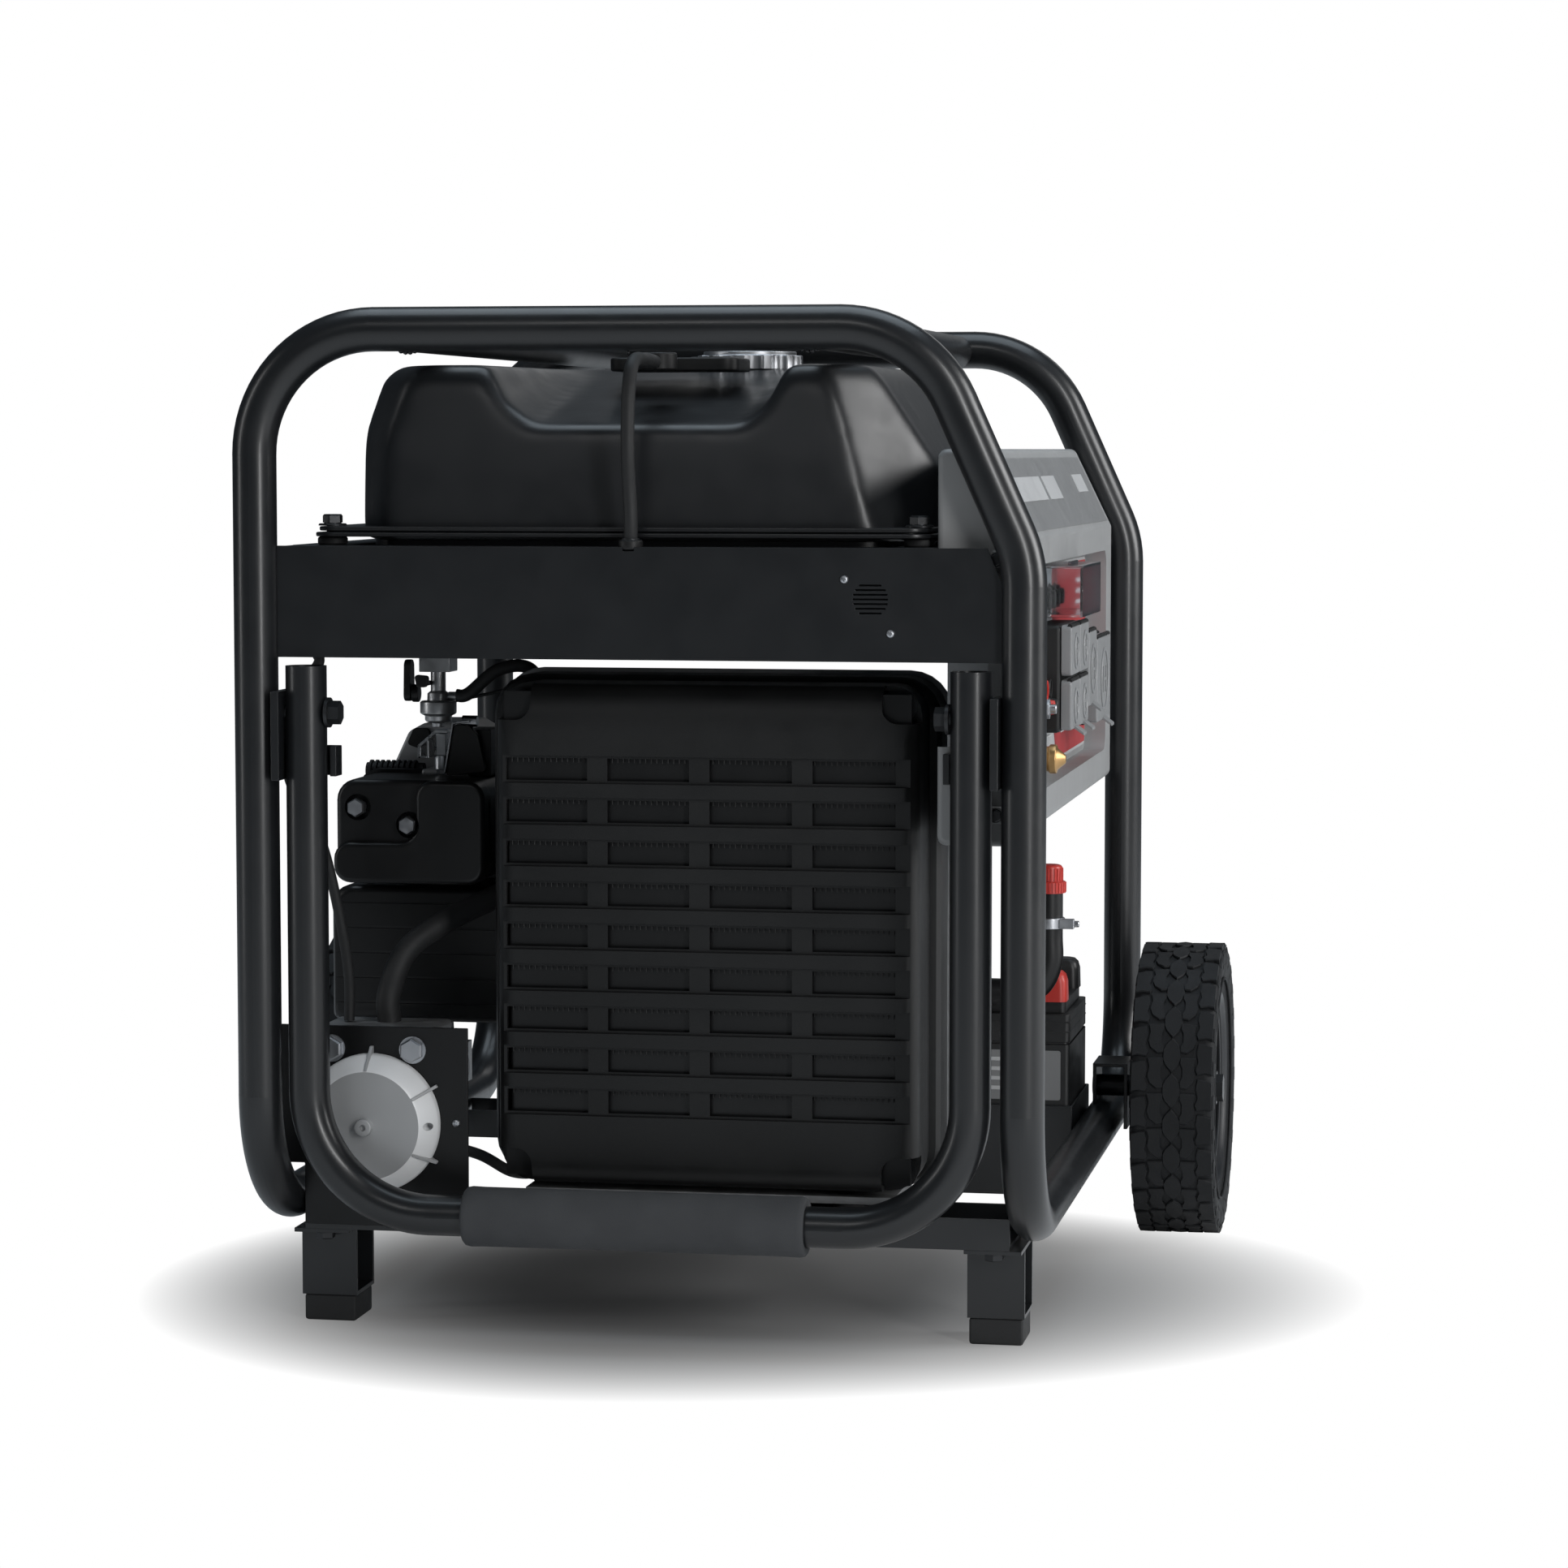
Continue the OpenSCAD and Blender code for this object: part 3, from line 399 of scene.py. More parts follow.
FINISHES = {
    "frame_black": finish("powder_coated_tube", (0.009, 0.0098, 0.011), (0.29, 0.34), drift=0.06,
                          relief=0.012, grain_scale=420, fleck=0.15, coat=0.1),
    "tank_black": finish("pressed_tank_paint", (0.0085, 0.0092, 0.0105), (0.34, 0.41), drift=0.1,
                         relief=0.015, grain_scale=500, fleck=0.1),
    "plastic_black": finish("moulded_black_plastic", (0.0058, 0.006, 0.0062), (0.42, 0.5), specular=0.36,
                            relief=0.14, grain_scale=1400, fleck=0.35, fleck_scale=900),
    "shroud_black": finish("stoved_black_shroud", (0.0034, 0.0035, 0.0038), (0.32, 0.4), specular=0.36,
                           relief=0.05, grain_scale=700),
    "battery_black": finish("battery_case_plastic", (0.009, 0.0093, 0.0098), (0.4, 0.5), relief=0.15,
                            grain_scale=1200),
    "wheel_black": finish("wheel_rim_paint", (0.012, 0.0128, 0.0145), (0.34, 0.45), relief=0.08),
    "rubber_black": finish("black_rubber", (0.013, 0.0135, 0.0142), (0.55, 0.72), relief=0.2,
                           grain_scale=1300, specular=0.4),
    "tyre": finish("tyre_rubber", (0.0085, 0.0092, 0.0102), (0.58, 0.72), drift=0.3, scale=16, relief=0.35,
                   grain_scale=800, fleck_scale=500, specular=0.25),
    "foam_grey": finish("grip_foam", (0.05, 0.052, 0.055), (0.78, 0.92), drift=0.18, scale=30, relief=0.5,
                        grain_scale=1500, fleck=0.6, fleck_scale=1300, specular=0.25),
    "panel_grey": finish("panel_housing_plastic", (0.25, 0.254, 0.256), (0.44, 0.52), drift=0.04, relief=0.05,
                         grain_scale=1300),
    "cover_grey": finish("outlet_cover_plastic", (0.2, 0.204, 0.208), (0.42, 0.5), drift=0.05, relief=0.05,
                         grain_scale=1300),
    "red_plastic": finish("red_cap_plastic", (0.42, 0.03, 0.022), (0.3, 0.4), drift=0.2, relief=0.08),
    "chrome_cap": finish("plated_cap", (0.5, 0.51, 0.53), (0.32, 0.42), metal=1.0, drift=0.08),
    "zinc": finish("zinc_plate", (0.42, 0.43, 0.45), (0.28, 0.42), metal=1.0, drift=0.25, scale=40,
                   relief=0.08),
    "black_steel": finish("blackened_steel", (0.03, 0.031, 0.033), (0.34, 0.46), metal=0.7, relief=0.1),
    "bright_steel": finish("ground_steel", (0.45, 0.46, 0.47), (0.25, 0.36), metal=1.0, scale=30),
    "muffler_steel": finish("heat_darkened_steel", (0.11, 0.105, 0.1), (0.42, 0.6), metal=0.8, drift=0.6,
                            scale=14, relief=0.2),
    "cast_alloy": finish("cast_aluminium", (0.3, 0.305, 0.31), (0.42, 0.58), metal=0.85, drift=0.2, scale=18,
                         relief=0.45, grain_scale=600, fleck=0.5, fleck_scale=260),
    "cast_iron": finish("cast_iron", (0.06, 0.061, 0.063), (0.5, 0.65), metal=0.6, relief=0.5, grain_scale=500),
    "copper": finish("enamelled_copper", (0.42, 0.17, 0.06), (0.3, 0.42), metal=0.9, relief=0.3,
                     grain_scale=300),
    "brass": finish("machined_brass", (0.4, 0.25, 0.11), (0.32, 0.42), metal=1.0, drift=0.2, scale=30),
    "gun_metal": finish("petcock_casting", (0.34, 0.345, 0.35), (0.3, 0.42), metal=0.9, drift=0.3, scale=40,
                        relief=0.25, grain_scale=900),
    "satin_dome": finish("satin_regulator_dome", (0.36, 0.365, 0.37), (0.4, 0.48), metal=0.25, drift=0.08,
                         scale=14, relief=0.12, grain_scale=900),
    # The regulator shoulder is the same metal as the disc, painted lighter: a painted highlight.
    "bright_dome": finish("bright_regulator_shoulder", (0.74, 0.745, 0.75), (0.42, 0.5), metal=0.1,
                          drift=0.05, scale=14),
    "decal_red": finish("decal_red_zone", (0.32, 0.022, 0.025), (0.38, 0.45), drift=0.1),
    "decal_white": finish("decal_white_print", (0.6, 0.6, 0.6), (0.38, 0.45), drift=0.05),
    "header_film": finish("header_film", (0.17, 0.173, 0.176), (0.42, 0.5), drift=0.03),
    "decal_grey": finish("decal_grey_zone", (0.4, 0.405, 0.41), (0.38, 0.45), drift=0.08),
    "display_glass": finish("display_glass", (0.006, 0.008, 0.012), (0.08, 0.14), drift=0.3),
}

# %% Clear plastic
clear = finish("clear_breaker_cover", (0.85, 0.89, 0.92), (0.05, 0.09), drift=0.02)
clear_shader = clear.node_tree.nodes["Principled BSDF"]
clear_shader.inputs["Transmission Weight"].default_value = 1.0
clear_shader.inputs["IOR"].default_value = 1.49
FINISHES["clear_plastic"] = clear
for node, obj in frame["nodes"].items():
    for material_slot in obj.material_slots:
        material_slot.material = FINISHES[slot_of[node]]
print("finishes", len(FINISHES))

# %% [markdown]
# ## Geometry Nodes for what repeats
# Tread blocks, grille slots, fins, bolt heads and hoses all follow a rule. Four small trees hold those rules:
# a tube along a path, copies around a ring, copies on a grid, and copies at listed points.

# %% Building and baking a tree
def start_tree(name, inputs):
    """A tree with a geometry input and named inputs, and its input and output nodes."""
    tree = bpy.data.node_groups.new(name, "GeometryNodeTree")
    tree.interface.new_socket("Geometry", in_out="INPUT", socket_type="NodeSocketGeometry")
    for label, kind in inputs.items():
        tree.interface.new_socket(label, in_out="INPUT", socket_type="NodeSocket" + kind)
    tree.interface.new_socket("Geometry", in_out="OUTPUT", socket_type="NodeSocketGeometry")
    return tree, tree.nodes.new("NodeGroupInput"), tree.nodes.new("NodeGroupOutput")


def join_up(tree, *pairs):
    """Links each source to its target."""
    for source, target in pairs:
        tree.links.new(source, target)


def end_tree(tree, given, result, geometry):
    """Every tree ends by making its copies real and giving them a finish."""
    real, paint = tree.nodes.new("GeometryNodeRealizeInstances"), tree.nodes.new("GeometryNodeSetMaterial")
    join_up(tree, (geometry, real.inputs[0]), (real.outputs[0], paint.inputs["Geometry"]),
            (given.outputs["Finish"], paint.inputs["Material"]), (paint.outputs[0], result.inputs[0]))


def grow(name, tree, base=None, **values):
    """Runs a tree on a base mesh and keeps the result as a plain mesh."""
    obj = put(name, base or bpy.data.meshes.new(name))
    modifier = obj.modifiers.new(tree.name, "NODES")
    modifier.node_group = tree
    for item in tree.interface.items_tree:
        key = item.name.replace(" ", "_")
        if item.in_out == "INPUT" and key in values:
            modifier[item.identifier] = values[key]
    settle(obj)
    obj.data.materials.clear()
    obj.data.materials.append(values["Finish"])
    print(name, "faces", len(obj.data.polygons))
    return obj


def sample(bm, bevel=0.0):
    """A shape about the origin, for a tree to copy."""
    bmesh.ops.recalc_face_normals(bm, faces=bm.faces)
    bm.transform(Matrix.Scale(MM, 4))
    mesh = bpy.data.meshes.new("sample")
    bm.to_mesh(mesh)
    bm.free()
    obj = put("sample", mesh)
    return soften_edges(obj, bevel, 1) if bevel else obj


def block_sample(size, bevel=0.0):
    """A block with one corner at the origin, for a tree to copy."""
    bm = bmesh.new()
    add_block(bm, (0, 0, 0), size)
    return sample(bm, bevel)


def clear_samples():
    """Removes the shapes that were only there to be copied."""
    for obj in [o for o in bpy.data.objects if o.name.startswith("sample")]:
        bpy.data.objects.remove(obj)


# %% A tube along a path
TUBE, given, result = start_tree("tube_along_path",
                                 {"Radius": "Float", "Sides": "Int", "Smoothing": "Int", "Finish": "Material"})
to_curve, kind = TUBE.nodes.new("GeometryNodeMeshToCurve"), TUBE.nodes.new("GeometryNodeCurveSplineType")
kind.spline_type = "CATMULL_ROM"
finer, ring = TUBE.nodes.new("GeometryNodeSetSplineResolution"), TUBE.nodes.new("GeometryNodeCurvePrimitiveCircle")
skin, shade = TUBE.nodes.new("GeometryNodeCurveToMesh"), TUBE.nodes.new("GeometryNodeSetShadeSmooth")
skin.inputs["Fill Caps"].default_value = True
join_up(TUBE, (given.outputs["Geometry"], to_curve.inputs["Mesh"]), (to_curve.outputs[0], kind.inputs["Curve"]),
        (kind.outputs[0], finer.inputs["Geometry"]), (given.outputs["Smoothing"], finer.inputs["Resolution"]),
        (finer.outputs[0], skin.inputs["Curve"]), (given.outputs["Sides"], ring.inputs["Resolution"]),
        (given.outputs["Radius"], ring.inputs["Radius"]), (ring.outputs[0], skin.inputs["Profile Curve"]),
        (skin.outputs[0], shade.inputs["Geometry"]))
end_tree(TUBE, given, result, shade.outputs[0])


def tube(name, route, radius, finish_name, sides=20, smoothing=10):
    """A hose, wire or bent rod along a drawn route."""
    path = bpy.data.meshes.new(name)
    path.from_pydata([frame_point(p) for p in route], [(i, i + 1) for i in range(len(route) - 1)], [])
    return grow(name, TUBE, path, Radius=radius * MM, Sides=sides, Smoothing=smoothing,
                Finish=FINISHES[finish_name])


# %% Copies around a ring, on a grid and at points
RING, given, result = start_tree("copies_round_ring",
                                 {"Piece": "Object", "Count": "Int", "Start": "Float", "Turn": "Rotation",
                                  "Place": "Vector", "Finish": "Material"})
spots, fetch = RING.nodes.new("GeometryNodeMeshLine"), RING.nodes.new("GeometryNodeObjectInfo")
index, share = RING.nodes.new("GeometryNodeInputIndex"), RING.nodes.new("ShaderNodeMath")
angle, turn = RING.nodes.new("ShaderNodeMath"), RING.nodes.new("ShaderNodeCombineXYZ")
copy_on, move = RING.nodes.new("GeometryNodeInstanceOnPoints"), RING.nodes.new("GeometryNodeTransform")
spots.inputs["Offset"].default_value = (0, 0, 0)
share.operation = "DIVIDE"
share.inputs[0].default_value = math.tau
angle.operation = "MULTIPLY_ADD"
join_up(RING, (given.outputs["Count"], spots.inputs["Count"]), (given.outputs["Count"], share.inputs[1]),
        (index.outputs[0], angle.inputs[0]), (share.outputs[0], angle.inputs[1]),
        (given.outputs["Start"], angle.inputs[2]),
        (angle.outputs[0], turn.inputs["Z"]), (given.outputs["Piece"], fetch.inputs["Object"]),
        (spots.outputs[0], copy_on.inputs["Points"]), (fetch.outputs["Geometry"], copy_on.inputs["Instance"]),
        (turn.outputs[0], copy_on.inputs["Rotation"]), (copy_on.outputs[0], move.inputs["Geometry"]),
        (given.outputs["Turn"], move.inputs["Rotation"]), (given.outputs["Place"], move.inputs["Translation"]))
end_tree(RING, given, result, move.outputs[0])

GRID, given, result = start_tree("copies_on_grid",
                                 {"Piece": "Object", "Columns": "Int", "Column Step": "Vector", "Rows": "Int",
                                  "Row Step": "Vector", "Place": "Vector", "Finish": "Material"})
across, up = GRID.nodes.new("GeometryNodeMeshLine"), GRID.nodes.new("GeometryNodeMeshLine")
rows, flat = GRID.nodes.new("GeometryNodeInstanceOnPoints"), GRID.nodes.new("GeometryNodeRealizeInstances")
fetch, copy_on = GRID.nodes.new("GeometryNodeObjectInfo"), GRID.nodes.new("GeometryNodeInstanceOnPoints")
move = GRID.nodes.new("GeometryNodeTransform")
join_up(GRID, (given.outputs["Columns"], across.inputs["Count"]),
        (given.outputs["Column Step"], across.inputs["Offset"]),
        (given.outputs["Rows"], up.inputs["Count"]), (given.outputs["Row Step"], up.inputs["Offset"]),
        (across.outputs[0], rows.inputs["Points"]), (up.outputs[0], rows.inputs["Instance"]),
        (rows.outputs[0], flat.inputs[0]), (flat.outputs[0], copy_on.inputs["Points"]),
        (given.outputs["Piece"], fetch.inputs["Object"]),
        (fetch.outputs["Geometry"], copy_on.inputs["Instance"]),
        (copy_on.outputs[0], move.inputs["Geometry"]), (given.outputs["Place"], move.inputs["Translation"]))
end_tree(GRID, given, result, move.outputs[0])

SPOTS, given, result = start_tree("copies_at_points", {"Piece": "Object", "Finish": "Material"})
fetch, copy_on = SPOTS.nodes.new("GeometryNodeObjectInfo"), SPOTS.nodes.new("GeometryNodeInstanceOnPoints")
facing = SPOTS.nodes.new("GeometryNodeInputNamedAttribute")
facing.data_type = "FLOAT_VECTOR"
facing.inputs["Name"].default_value = "turn"
join_up(SPOTS, (given.outputs["Piece"], fetch.inputs["Object"]),
        (given.outputs["Geometry"], copy_on.inputs["Points"]),
        (fetch.outputs["Geometry"], copy_on.inputs["Instance"]),
        (facing.outputs["Attribute"], copy_on.inputs["Rotation"]))
end_tree(SPOTS, given, result, copy_on.outputs[0])

TURNS = {"x": (0, math.pi / 2, 0), "-x": (0, -math.pi / 2, 0), "y": (-math.pi / 2, 0, 0),
         "-y": (math.pi / 2, 0, 0),
         "z": (0, 0, 0), "-z": (math.pi, 0, 0)}


def ring_of(name, shape, count, at, facing, finish_name, start=0.0):
    """Copies of a shape round an axis. The shape is drawn out along its own X, with the axis along its Z."""
    return grow(name, RING, Piece=shape, Count=count, Start=start, Turn=TURNS[facing], Place=frame_point(at),
                Finish=FINISHES[finish_name])


def grid_of(name, shape, columns, column_step, rows, row_step, at, finish_name):
    """Copies of a shape in columns and rows."""
    return grow(name, GRID, Piece=shape, Columns=columns, Column_Step=Vector(column_step) * MM, Rows=rows,
                Row_Step=Vector(row_step) * MM, Place=frame_point(at), Finish=FINISHES[finish_name])


def copies_at(name, shape, points, facing, finish_name):
    """Copies of a shape at listed points, all with their Z towards one direction."""
    base = bpy.data.meshes.new(name)
    base.from_pydata([frame_point(p) for p in points], [], [])
    base.attributes.new("turn", "FLOAT_VECTOR", "POINT").data.foreach_set("vector", TURNS[facing] * len(points))
    return grow(name, SPOTS, base, Piece=shape, Finish=FINISHES[finish_name])


def fit(obj, body="root", stands_for=(), smooth=34):
    """Ties a grown piece to its body and keeps the finish it grew with."""
    return piece(obj, obj.data.materials[0], body, stands_for, smooth)


def trim(obj, finish_name, smooth=34):
    """A detail that rides the root and stands for no measured part."""
    return piece(obj, FINISHES[finish_name], "root", (), smooth)

# %% [markdown]
# ## Frame details
# The bent hoops are exact already. What a measured tube lacks is the weld bead around each joint, so a bumpy
# ring is laid on every place where a rail meets a hoop.

# %% Weld beads on the tubes
# The rings at 125 stand 10 mm inside the right top rail, whose axis is at 135 in the measured model.
bead = bmesh.new()
bmesh.ops.create_uvsphere(bead, u_segments=8, v_segments=5, radius=2.1, matrix=Matrix.Translation((14.2, 0, 0)))
bead = sample(bead)
for number, (x, y, facing) in enumerate([(x, y, f) for x in (-170, 125) for y,
                                         f in ((15.2, "y"), (696.8, "y"))]):
    fit(ring_of(f"rail_weld_{number}", bead, 26, (x, y, 740), facing, "frame_black"))
clear_samples()
for node, width in {"cross_members": 0.8, "foot_brackets": 1.2, "handle_brackets": 1.2, "axle_brackets": 1.2,
                    "shelf_panels": 0.6, "shelf_side_rails": 0.6, "regulator_plate": 0.6, "battery_tray": 1.0,
                    "rubber_feet": 2.2}.items():
    smoothed_copy(node, width, FINISHES["shroud_black" if node == "regulator_plate" else slot_of[node]])
print("frame sheet parts softened")

# %% [markdown]
# ## Fuel tank
# A pressed steel tank is one sheet with large radii everywhere. A coarse solid with the right slopes is cut for the
# recess in its front. Remeshing it into small even squares and then smoothing rolls every fold like a press does.

# %% Tank shell
# Height, left, front, right, back and crease of each section.
WALLS = ((589, -218, 33, 209, 559, 167), (644, -218.5, 37, 206, 556, 152), (668, -218, 40, 191, 554, 146),
         (708, -205, 45, 166, 548, 134), (717.5, -193, 51, 158, 543, 131))


def tank_ring(z, left, front, right, back, crease):
    """The tank's section at one height, cut back from a crease at its front right corner."""
    slant, roll = (right - crease) * 1.2, 27
    return [(x, y, z) for x, y in ((left + roll, front), (crease, front), (right, front + slant),
                                   (right, back - 34),
                                   (right - 34, back), (left + roll, back), (left, back - roll),
                                   (left, front + roll))]


shell = bmesh.new()
add_loft(shell, [tank_ring(*wall) for wall in WALLS])
shell = solid("tank_shell", shell)
recess = bmesh.new()
add_loft(recess, [[(-96 - rise * 0.62, y, low + rise), (-84, y, low), (69, y, low),
                   (80 + rise * 0.6, y, low + rise),
                   (108, y, 730), (-128, y, 730)]
                  for y, low, rise in ((10, 674, 14), (46, 674, 14), (238, 716, 4))])
carve(shell, solid("recess", recess))
squares = shell.modifiers.new("even_squares", "REMESH")
squares.mode, squares.voxel_size = "VOXEL", 3.6 * MM
press = shell.modifiers.new("rolled_folds", "SMOOTH")
press.factor, press.iterations = 0.5, 34
settle(shell)
piece(shell, FINISHES["tank_black"], "root", ["fuel_tank"], 60)
lips = bmesh.new()
add_prism(lips, rounded((-246, 20), (212, 572), 18), "z", 592.2, 595.4)
add_prism(lips, rounded((-243.5, 22.5), (209.5, 569.5), 16), "z", 596.4, 599.6)
add_prism(lips, rounded((-239, 27), (205, 565), 14), "z", 594.8, 597)
add_prism(lips, rounded((-214, 60), (176, 530), 26), "z", 560, 593)
add_rod(lips, (33, 275, 708), (33, 275, 722), 23)
trim(soften_edges(solid("tank_lips", lips), 0.9), "tank_black")
print("tank shell faces", len(shell.data.polygons))

# %% Cap, gauge and vent on the tank
smoothed_copy("fuel_cap", 1.2, FINISHES["chrome_cap"], 40)
smoothed_copy("tank_fittings", 1.5, FINISHES["plastic_black"], 40)
vent = bmesh.new()
add_turned(vent, [(0, 0), (13.4, 0), (13.4, 1.6), (11, 2.4), (11, 5), (8.4, 6.5), (6, 7), (0, 7)],
           (-5, 110, 716), "z")
add_turned(vent, [(0, 0), (19, 0), (19, 1.5), (16, 3), (0, 3)], (24, 172, 722), "z")
trim(solid("vent_valve_top", vent), "plastic_black")
smoothed_copy("tank_isolators", 1.6, FINISHES["rubber_black"], 50)
washer = bmesh.new()
add_turned(washer, [(4.2, 0), (10.4, 0), (10.4, 0.8), (9.8, 1.6), (4.2, 1.6)], (0, 0, 0), "z", 32)
TANK_BOLTS = [(x, y) for x in (-234.6, 200.7) for y in (40, 552)]
fit(copies_at("tank_bolt_washers", sample(washer), [(x, y, 600) for x, y in TANK_BOLTS], "z", "black_steel"))
clear_samples()

# %% [markdown]
# ## Fan cover
# The cover is a moulded box whose face rolls into its sides. Rings are lofted from the flange to the face, then
# the sunk corners, nine shallow channels and thirty-six slots are cut. The slots stand on a regular grid, so a
# Geometry Nodes grid makes their cutter in one go.

# %% Cover shell
SLOT_ROWS, SLOT_PITCH = 9, 30.8


def cover_ring(y, left, low, right, high, radius):
    """The cover's outline at one depth."""
    return [(x, y, z) for x, z in rounded((left, low), (right, high), radius, 5)]


def cover_rings(w):
    """The cover's section from its flange to its face, drawn in by a wall thickness."""
    rings = [cover_ring(160, -134.6 + w, 108 + w, 205 - w, 488 - w, 30),
             cover_ring(126, -134.6 + w, 108 + w, 205 - w, 488 - w, 30),
             cover_ring(121 + w, -132 + w, 110.5 + w, 202 - w, 485.5 - w, 28),
             cover_ring(119 + w, -119 + w, 112 + w, 197 - w, 484 - w, 24)]
    for step in range(7):
        roll = math.radians(15 * step)
        side, top, deep = 15 * (1 - math.cos(roll)), 34 * (1 - math.cos(roll)), 15 * (1 - math.sin(roll))
        rings.append(cover_ring(60 + w + deep * (1.0 if w == 0 else 0.9), -119 + w + side, 112 + w + side * 1.2,
                                197 - w - side, 484 - w - top, 22))
    return rings


cover = bmesh.new()
add_loft(cover, cover_rings(0))
cover = solid("fan_cover_shell", cover)
hollow = bmesh.new()
add_loft(hollow, [[(x, 161, z) for x, _, z in cover_rings(4)[0]]] + cover_rings(4)[1:])
pockets = bmesh.new()
for x in (-119, 197):
    for z in (112, 484):
        add_prism(pockets, rounded((x - 27, z - 27), (x + 27, z + 27), 12), "y", 50, 82)
carve(cover, solid("pockets", pockets))
carve(cover, solid("hollow", hollow))
pocket_walls = bmesh.new()
for x in (-119, 197):
    for z in (112, 484):
        add_prism(pocket_walls, rounded((max(x - 30, -116), max(z - 30, 115)),
                                        (min(x + 30, 194), min(z + 30, 481)), 10), "y", 82.2, 85)
carve(cover, grid_of("channels", block_sample((330, 8, 20.5)), 1, (1, 0, 0), SLOT_ROWS, (0, 0, -SLOT_PITCH),
                     (-126, 55.2, 410.8), "plastic_black"))
carve(cover, grid_of("slots", block_sample((61.3, 16, 16.5)), 4, (76.5, 0, 0), SLOT_ROWS, (0, 0, -SLOT_PITCH),
                     (-110.6, 56, 412.8), "plastic_black"))
clear_samples()
soften_edges(cover, 0.9, 2, 30)
piece(cover, FINISHES["plastic_black"], "root", ["fan_cover"])
trim(soften_edges(solid("fan_cover_pocket_floors", pocket_walls), 0.6), "plastic_black")

# %% Dark plate and screen teeth behind the slots
plate = bmesh.new()
add_block(plate, (-113, 69, 118), (191, 70.5, 478))
trim(solid("slot_backing", plate), "shroud_black")
wire = bmesh.new()
add_rod(wire, (0, 0, 0), (0, 0, 3.2), 0.5, 5)
wire = sample(wire)
for row in range(SLOT_ROWS):
    teeth = grid_of(f"screen_teeth_{row}", wire, 72, (4.2, 0, 0), 1, (0, 0, 1),
                    (-111, 66.5, 426 - row * SLOT_PITCH), "plastic_black")
    fit(teeth)
clear_samples()

# %% [markdown]
# ## Wheels
# A tread repeats twenty-six times round the tyre. A block for the middle, two beside it and two for the
# shoulders are copied round the axle by the ring tree over a plain carcass.

# %% Tyres with their tread
WHEEL_Y, WHEEL_Z, TYRE_X, TREAD_R = 568.5, 121.6, 347.9, 121.0
REPEATS = 26
CARCASS = [(75, -26.5), (86, -30), (98, -33), (108, -34.2), (113, -34.4), (117.6, -32), (119, -26), (119.3, 0),
           (119, 26), (117.6, 32), (113, 34.4), (108, 34.2), (98, 33), (86, 30), (75, 26.5), (73.5, 24),
           (73.5, -24)]


def tread_block(outline, top=TREAD_R, foot=115.0):
    """A block that stands on the carcass. The outline is drawn round the wheel and across it."""
    bm = bmesh.new()
    shrunk = [(0.94 * a, b - (0.05 * b if abs(b) < 12 else 0)) for a, b in outline]
    add_loft(bm, [[(foot, a, b) for a, b in outline], [(top - 0.9, a, b) for a, b in outline],
                  [(top, a, b) for a, b in shrunk]])
    return sample(bm)


CENTRE = [(-14.4, 0), (-9, 5), (-4.2, 7.2), (4.2, 7.2), (9, 5), (14.4, 0), (9, -5), (4.2, -7.2), (-4.2, -7.2),
          (-9, -5)]
MIDDLE = [(-12.6, 7.6), (-8, 7.4), (-3.8, 9.4), (3.8, 9.4), (8, 7.4), (12.6, 7.6), (13.4, 12), (9, 17.5),
          (3, 19.5), (-5, 18), (-12, 19.5)]
SHOULDER = [(-12.8, 21.6), (-5, 20.2), (3, 21.8), (9.6, 19.6), (13.2, 21), (12, 28), (13, 32.6), (-10, 32.6),
            (-12, 27)]
for side, name in ((-1, "left"), (1, "right")):
    body = name + "_wheel"
    at = (side * TYRE_X, WHEEL_Y, WHEEL_Z)
    carcass = bmesh.new()
    add_turned(carcass, CARCASS, at, "x", 104)
    for h in (-33.4, 33.4):
        add_turned(carcass, [(92 + 1.1 * math.cos(a * math.tau / 8),
                              h * 0.985 + 1.1 * math.sin(a * math.tau / 8)) for a in range(8)], at, "x", 104)
    piece(solid(f"{name}_tyre_carcass", carcass), FINISHES["tyre"], body, [f"{name}_tyre"], 50)
    step = math.tau / REPEATS
    for label, outline, offset, mirrored in (("centre", CENTRE, 0, False), ("middle_a", MIDDLE, 0.5, False),
                                             ("middle_b", MIDDLE, 0.5, True),
                                             ("shoulder_a", SHOULDER, 0.1, False),
                                             ("shoulder_b", SHOULDER, 0.6, True)):
        shape = tread_block([(a, -b) for a, b in outline] if mirrored else outline)
        fit(ring_of(f"{name}_tread_{label}", shape, REPEATS, at, "x", "tyre", start=step * offset), body,
            smooth=20)
    lug = bmesh.new()
    add_loft(lug, [[(r, a, h) for a, h in ((-6.5, 32.0), (6.5, 32.0), (5.5, o), (-5.5, o))] for r,
                   o in ((101, 33.4), (104, 34.3), (114.6, 34.5), (116.8, 33.5))])
    lug = sample(lug)
    flipped = bmesh.new()
    flipped.from_mesh(lug.data)
    bmesh.ops.scale(flipped, vec=(1, 1, -1), verts=flipped.verts)
    bmesh.ops.scale(flipped, vec=(1 / MM,) * 3, verts=flipped.verts)
    for label, shape in (("outer", lug), ("inner", sample(flipped))):
        fit(ring_of(f"{name}_lugs_{label}", shape, REPEATS, at, "x", "tyre", start=step * 0.35), body,
            smooth=20)
    clear_samples()

